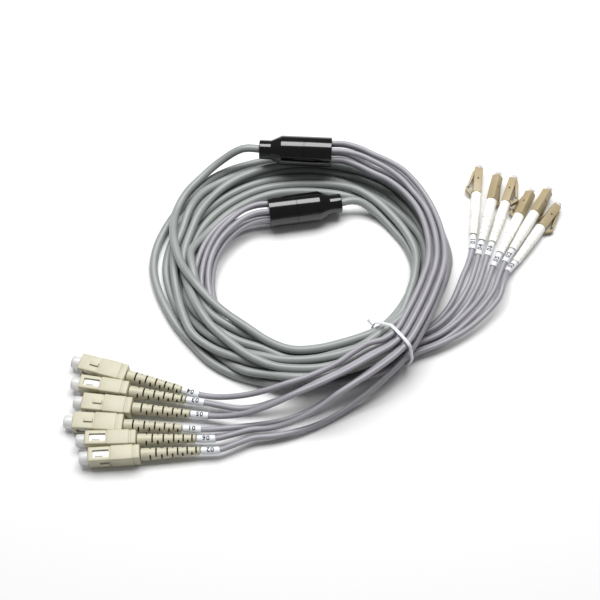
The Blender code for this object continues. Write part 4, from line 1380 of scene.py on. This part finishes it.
@dataclass
class LatchPlug(Plug):
    """A small latching plug: square body with its arm and trigger, dust cap and boot."""

    length: float = 0.0172
    width: float = 0.0046
    edge: float = 0.0003
    nose_scale: float = 0.86
    bore_radius: float = 0.0016
    bore_depth: float = 0.006
    latch_width: float = 0.0024
    latch_edge: float = 0.00012
    latch_thickness: float = 0.0011
    latch_root: float = 0.0020
    latch_tip: float = 0.0134
    latch_rise: float = 0.0034
    trigger: float = 0.0012
    mark_place: float = 0.0078
    mark_radius: float = 0.00055
    cap_radius: float = 0.0019
    cap_length: float = 0.0023
    boot: Boot = field(default_factory=lambda: Boot(
        length=0.0280, front_radius=0.0029, rear_radius=0.0022, collar=0.0120, rings=9,
        first_pitch=0.0019, last_pitch=0.0016, slot_width=0.00045, slot_sink=0.90,
    ))

    def spot(self, place: tuple[float, float], heading: float, roll: float) -> Spot:
        """Where the plug lies, on its boot or on its latch.

        Args:
            place: its front face's centre in the layout.
            heading: the way it points, in degrees.
            roll: its roll about that way, in degrees.

        Returns:
            The spot.
        """
        half = self.width / 2
        peak = half + self.latch_rise + 0.6 * self.trigger
        turn = math.radians(roll)
        depths = [self.boot.front_radius]
        arm = self.latch_width / 2
        for y, z in ((-half, -half), (half, -half), (-arm, peak), (arm, peak)):
            depths.append(-y * math.sin(turn) - z * math.cos(turn))
        return Spot(place, max(depths) + MM / 10, heading, roll)

    def housing(self) -> Piece:
        """The body with its chamfered nose and side marks, the sprung arm and the trigger over it.

        Returns:
            The housing, in its plug's own frame.
        """
        half = self.width / 2
        body = Bench.box("latch_body", (0.0, -half, -half), (self.length, half, half), self.edge)
        Bench.draw_in(body, lambda middle, normal: normal.x < -0.9, self.nose_scale)
        mouth = Bench.lathe("mouth", [
            (-MM, 0.5 * MM), (-MM, self.bore_radius),
            (self.bore_depth, self.bore_radius), (self.bore_depth, 0.5 * MM),
        ], 32)
        Bench.combine(body, "DIFFERENCE", mouth)
        top, thick, root, tip = half + self.latch_rise, self.latch_thickness, self.latch_root, self.latch_tip
        heel, bar = self.length, self.trigger
        arm = Bench.plate("arm", [
            (root, half - thick), (root, half), (root + thick, half + thick), (tip, top), (tip, top - thick),
            (root + 2.4 * thick, half), (root + 2.4 * thick, half - thick),
        ], self.latch_width, self.latch_edge)
        trigger = Bench.plate("trigger", [
            (heel - bar, half - bar), (heel - bar, half + bar), (heel, half + bar),
            (tip + bar, top - 0.3 * bar), (tip + CLEARANCE, top - 0.3 * bar),
            (tip + CLEARANCE, top + 0.6 * bar), (tip + 2 * bar, top + 0.6 * bar),
            (heel + bar, half + 1.4 * bar), (heel + 1.4 * bar, half + 0.7 * bar),
            (heel, half + 0.7 * bar), (heel, half - bar),
        ], self.latch_width, self.latch_edge)
        marks = []
        for side in (-1.0, 1.0):
            mark = Bench.lathe("mark", [
                (0.0, self.mark_radius * 0.1), (0.0, self.mark_radius), (0.03 * MM, self.mark_radius * 0.9),
                (0.03 * MM, self.mark_radius * 0.1),
            ], 16)
            turn = Matrix.Rotation(math.radians(90.0 * side), 4, "Z")
            mark.data.transform(Matrix.Translation((self.mark_place, side * half, 0.0)) @ turn)
            # The side marks share the dark brown that is painted into the square plugs' boot slots as shade
            marks.append(Bench.dress(mark, [SLIT_SHADE_AND_MARK]))
        for piece in (body, arm, trigger):
            Bench.dress(piece, [KHAKI_PLASTIC], 30.0)
        return Bench.join("latch_housing", [body, arm, trigger, *marks])

    def masters(self) -> list[tuple[str, Piece, str]]:
        """Each part of the plug, made once: its name, its shape and its finish slot.

        Returns:
            The name, the shape and the slot of each part.
        """
        cap = dust_cap("dust_cap", self.cap_radius, self.cap_length, 0.0012, 0.004)
        # The latch boots' slots keep the boot's own finish, with no painted shade
        boot = self.boot.build(self.length + CLEARANCE, WARM_RUBBER, WARM_RUBBER)
        return [
            ("housing", self.housing(), "lc_khaki"), ("dust_cap", cap, "clear_cap"),
            ("boot", boot, "boot_white"),
        ]


@dataclass
class NumberSleeve:
    """A printed number sleeve on a leg, just behind its boot."""

    length: float = 0.0090
    radius: float = 0.0019
    inner: float = 0.00155
    lip: float = 0.0001
    letter: float = 0.0034
    ink: float = 0.00005
    bold: float = 0.0001
    letter_pitch: float = 1.15
    curve_steps: int = 3
    cuts: int = 3
    rings: int = 8

    def build(self, name: str, text: str, line: np.ndarray, gap: float) -> Piece:
        """Makes the sleeve and its number, bent along the leg.

        Args:
            name: the sleeve's name.
            text: its plain number.
            line: the leg's axis, from the boot's end on.
            gap: how far from the boot's end the sleeve begins.

        Returns:
            The sleeve, which rides on the object.
        """
        outer = [
            (self.lip + (self.length - 2 * self.lip) * step / self.rings, self.radius)
            for step in range(self.rings + 1)
        ]
        inner = [(place, self.inner) for place, _ in reversed(outer)]
        tube = Bench.lathe(f"{name}_tube", [(0.0, self.radius - self.lip), *outer,
                                            (self.length, self.radius - self.lip), *inner,
                                            (0.0, self.radius - self.lip)], 32, closed=True)
        Bench.dress(tube, [SLEEVE_VINYL])
        Bench.clear()
        bpy.ops.object.text_add()
        number = bpy.context.object
        number.data.body = text
        number.data.size = self.letter
        number.data.align_x = "CENTER"
        number.data.align_y = "CENTER"
        number.data.extrude = self.ink
        number.data.offset = self.bold
        number.data.resolution_u = self.curve_steps
        number.data.space_character = self.letter_pitch
        bpy.ops.object.convert(target="MESH")
        number = bpy.context.object
        Bench.edit()
        bpy.ops.mesh.quads_convert_to_tris()
        bpy.ops.mesh.subdivide(number_cuts=self.cuts)
        Bench.leave()
        for vert in number.data.vertices:
            turn = vert.co.y / self.radius
            reach = self.radius + vert.co.z
            vert.co = (self.length / 2 - vert.co.x, -reach * math.sin(turn), reach * math.cos(turn))
        Bench.dress(number, [NUMERAL_INK])
        sleeve = Bench.join(name, [tube, number])
        along = distances(line)
        for vert in sleeve.data.vertices:
            place = gap + vert.co.x
            centre, ahead = (
                Vector([float(np.interp(mark, along, line[:, axis])) for axis in range(3)])
                for mark in (place, place + MM)
            )
            way = (ahead - centre).normalized()
            side = Vector((0.0, 0.0, 1.0)).cross(way).normalized()
            vert.co = centre + side * vert.co.y + way.cross(side) * vert.co.z
        return Bench.declare(sleeve, "boot_white")


@dataclass
class TieBand:
    """The white wire tie: a rounded band round the bundle, and its two twisted ends."""

    sides: int = 24
    section_sides: int = 12
    rounds: int = 2
    spare: float = 0.01
    twist_length: float = 0.0042
    twist_radius: float = 0.00042
    twist_turns: float = 2.2
    twist_steps: int = 30
    wire_radius: float = 0.00048

    def loop(self, bundle: Bundle) -> np.ndarray:
        """The closed line round what the tie holds, along the tie and upwards.

        Args:
            bundle: every strand that has been laid.

        Returns:
            The points of the band's middle line, one pair a row.
        """
        inner, way, across, span = tie_line()
        offsets = bundle.places - inner
        along = offsets @ way
        near = np.abs(offsets @ across) < TIE_GRIP
        near &= (along > -self.spare) & (along < span + self.spare)
        held = np.column_stack([along[near], bundle.heights[near]])
        reach = bundle.radii[near] + STRAND_GAP + TIE_THICKNESS / 2
        support = []
        for step in range(self.sides):
            turn = 2 * math.pi * step / self.sides
            normal = np.array([math.cos(turn), math.sin(turn)])
            support.append((normal, (held @ normal + reach).max()))
        line = np.array([
            np.linalg.solve(np.array([first, second]), [first_reach, second_reach])
            for (first, first_reach), (second, second_reach) in zip(support, support[1:] + support[:1])
        ])
        for _ in range(self.rounds):
            after = np.roll(line, -1, axis=0)
            line = np.stack([0.75 * line + 0.25 * after, 0.25 * line + 0.75 * after], axis=1).reshape(-1, 2)
        line[:, 1] = np.maximum(line[:, 1], TIE_THICKNESS / 2)
        return line

    def twist(self, start: Vector, way: Vector, phase: float) -> Piece:
        """One of the two wire ends that turn round each other.

        Args:
            start: where it leaves the band.
            way: the way along the tie.
            phase: how far round the twist it starts.

        Returns:
            The wire end.
        """
        side = Vector((0.0, 0.0, 1.0)).cross(way).normalized()
        line = []
        for step in range(self.twist_steps + 1):
            share = step / self.twist_steps
            turn = 2 * math.pi * self.twist_turns * share + phase
            away = side * math.cos(turn) + way.cross(side) * math.sin(turn)
            line.append(start - way * self.twist_length * share + away * self.twist_radius)
        Bench.only(Bench.tube("tie_end", line, self.wire_radius, 2))
        bpy.ops.object.convert(target="MESH")
        return bpy.context.object

    def build(self, bundle: Bundle) -> Piece:
        """Makes the band and its ends in place of the tie's solid.

        Args:
            bundle: every strand that has been laid.

        Returns:
            The tie.
        """
        inner, way, across, _ = tie_line()
        line = self.loop(bundle)
        ahead = np.roll(line, -1, axis=0) - np.roll(line, 1, axis=0)
        ahead /= np.linalg.norm(ahead, axis=1)[:, None]
        Bench.clear()
        bpy.ops.mesh.primitive_torus_add(major_segments=len(line), minor_segments=self.section_sides)
        band = bpy.context.object
        for vert in band.data.vertices:
            ring, step = divmod(vert.index, self.section_sides)
            turn = 2 * math.pi * step / self.section_sides
            out = np.array([ahead[ring][1], -ahead[ring][0]]) * math.cos(turn) * TIE_THICKNESS / 2
            u, w = line[ring] + out
            over = -across * math.sin(turn) * TIE_WIDTH / 2
            vert.co = (*(inner + way * u + over), w)
        height = float(np.median(line[:, 1]))
        left = line[line[:, 0] < float(line[:, 0].mean())]
        u, w = left[int(np.argmin(np.abs(left[:, 1] - height)))]
        start, along = Vector((*(inner + way * u), w)), Vector((*way, 0.0))
        ends = [self.twist(start, along, phase) for phase in (0.0, math.pi)]
        tie = Bench.join("wire_tie_band", [band, *ends])
        Bench.dress(tie, [TIE_PLASTIC], 50.0)
        return Bench.declare(tie, "tie_white", ["wire_tie"])


@dataclass
class Studio:
    """The pale floor, the soft light and the camera at the photograph's angle."""

    elevation: float = 59.0
    distance: float = 0.611
    lens_mm: float = 69.0
    sensor_mm: float = 36.0
    clip_start: float = 0.01
    floor_size: float = 4.0
    light_place: tuple[float, float, float] = (0.0, 0.40, 1.0)
    light_aim: tuple[float, float, float] = (0.0, 0.02, 0.0)
    light_size: tuple[float, float] = (1.1, 0.62)
    light_watts: float = 17.5
    surroundings: float = 0.15

    def build(self) -> None:
        """Sets the camera, the floor, the light and the pale surroundings."""
        aim = Vector((*plan_of([(0.0, 0.0)])[0], 0.0))
        rise = math.radians(self.elevation)
        Bench.clear()
        bpy.ops.object.camera_add(
            location=aim + Vector((0.0, -self.distance * math.cos(rise), self.distance * math.sin(rise))),
            rotation=(math.pi / 2 - rise, 0.0, 0.0),
        )
        camera = bpy.context.object
        camera.data.lens = self.lens_mm
        camera.data.sensor_width = self.sensor_mm
        camera.data.clip_start = self.clip_start
        bpy.context.scene.camera = camera
        Bench.clear()
        bpy.ops.mesh.primitive_plane_add(size=self.floor_size, location=(0.0, 0.0, 0.0))
        floor = bpy.context.object
        floor.name = "floor"
        Bench.dress(floor, [PAPER])
        self.light()
        world = bpy.data.worlds.new("pale_surroundings")
        bpy.context.scene.world = world
        world.use_nodes = True
        world.node_tree.nodes["Background"].inputs["Color"].default_value = (1.0, 1.0, 1.0, 1.0)
        world.node_tree.nodes["Background"].inputs["Strength"].default_value = self.surroundings
        bpy.context.scene.view_settings.view_transform = "Standard"

    def light(self) -> None:
        """Adds the one rectangular soft light over the back of the cable."""
        Bench.clear()
        turn = (Vector(self.light_aim) - Vector(self.light_place)).to_track_quat("-Z", "Y").to_euler()
        bpy.ops.object.light_add(type="AREA", location=self.light_place, rotation=turn)
        lamp = bpy.context.object
        lamp.name = "softbox"
        lamp.data.shape = "RECTANGLE"
        lamp.data.size, lamp.data.size_y = self.light_size
        lamp.data.energy = self.light_watts


@dataclass
class BreakoutCable:
    """The whole cable: its coil, its two splitters, its legs and what is on their ends."""

    splitter: SplitterHousing = field(default_factory=SplitterHousing)
    square: SquarePlug = field(default_factory=SquarePlug)
    latch: LatchPlug = field(default_factory=LatchPlug)
    sleeve: NumberSleeve = field(default_factory=NumberSleeve)
    tie: TieBand = field(default_factory=TieBand)
    square_numbers: tuple[str, ...] = ("04", "03", "05", "01", "06", "02")
    latch_numbers: tuple[str, ...] = ("01", "04", "06", "05", "02", "03")

    def plugs(self, prefix: str, kind: SquarePlug | LatchPlug, spots: Sequence[Spot]) -> list[list[Piece]]:
        """Builds a row of plugs from one set of masters, and gives each plug's pieces.

        Args:
            prefix: how the plugs' nodes begin.
            kind: the plug to build.
            spots: where each plug lies.

        Returns:
            The pieces of each plug.
        """
        masters = kind.masters()
        rows = []
        for number, spot in enumerate(spots, start=1):
            row = []
            for part, master, slot in masters:
                node = f"{prefix}_{number}_{part}"
                piece = Bench.copy_at(master, f"{node}_shell", spot.matrix())
                row.append(Bench.declare(piece, slot, [node]))
            rows.append(row)
        for _, master, _ in masters:
            bpy.data.objects.remove(master, do_unlink=True)
        return rows

    def legs(self, side: str, routes: dict[int, np.ndarray], rows: list[list[Piece]],
             numbers: tuple[str, ...]) -> None:
        """Args:
            side: which splitter they leave.
            routes: the axis of each leg, by its index.
            rows: the pieces of each leg's plug.
            numbers: the number on each leg's sleeve.
        """
        for index, points in sorted(routes.items()):
            name = f"{side}_leg_{index + 1}"
            run = CordRun(f"{name}_run", name, points, LEG_DIAMETER, LEG_SHEATH, "leg_sheath", Lay.LEG)
            piece = run.build()
            line = run.line()[::-1]
            sleeve = self.sleeve.build(f"{name}_number_sleeve", numbers[index], line, CLEARANCE)
            run.free(piece, "connector", [*rows[index], sleeve])

    def build(self) -> None:
        """Builds the cords and then every piece on them."""
        square_spots = [self.square.spot(*place) for place in SC_PLACES]
        latch_spots = [self.latch.spot(*place) for place in LC_PLACES]
        routes = CableLayout(self.splitter, square_spots, latch_spots, self.square.reach, self.latch.reach)
        routes.lay_all()
        trunk = CordRun(
            "trunk_run", "trunk_cable", routes.trunk, TRUNK_DIAMETER, TRUNK_SHEATH, "trunk_sheath", Lay.TRUNK,
        )
        trunk_piece = trunk.build()
        square_rows = self.plugs("sc", self.square, square_spots)
        latch_rows = self.plugs("lc", self.latch, latch_spots)
        self.splitter.build("lower_splitter", routes.lower_spot)
        self.splitter.build("upper_splitter", routes.upper_spot)
        self.legs("upper", routes.upper_legs, square_rows, self.square_numbers)
        self.legs("lower", routes.lower_legs, latch_rows, self.latch_numbers)
        trunk.free(trunk_piece, "object", [])
        self.tie.build(routes.bundle)


def main() -> None:
    """Builds the studio and the cable."""
    logging.basicConfig(level=logging.INFO, format="%(name)s: %(message)s")
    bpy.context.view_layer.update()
    Studio().build()
    BreakoutCable().build()


if __name__ == "__main__":
    main()
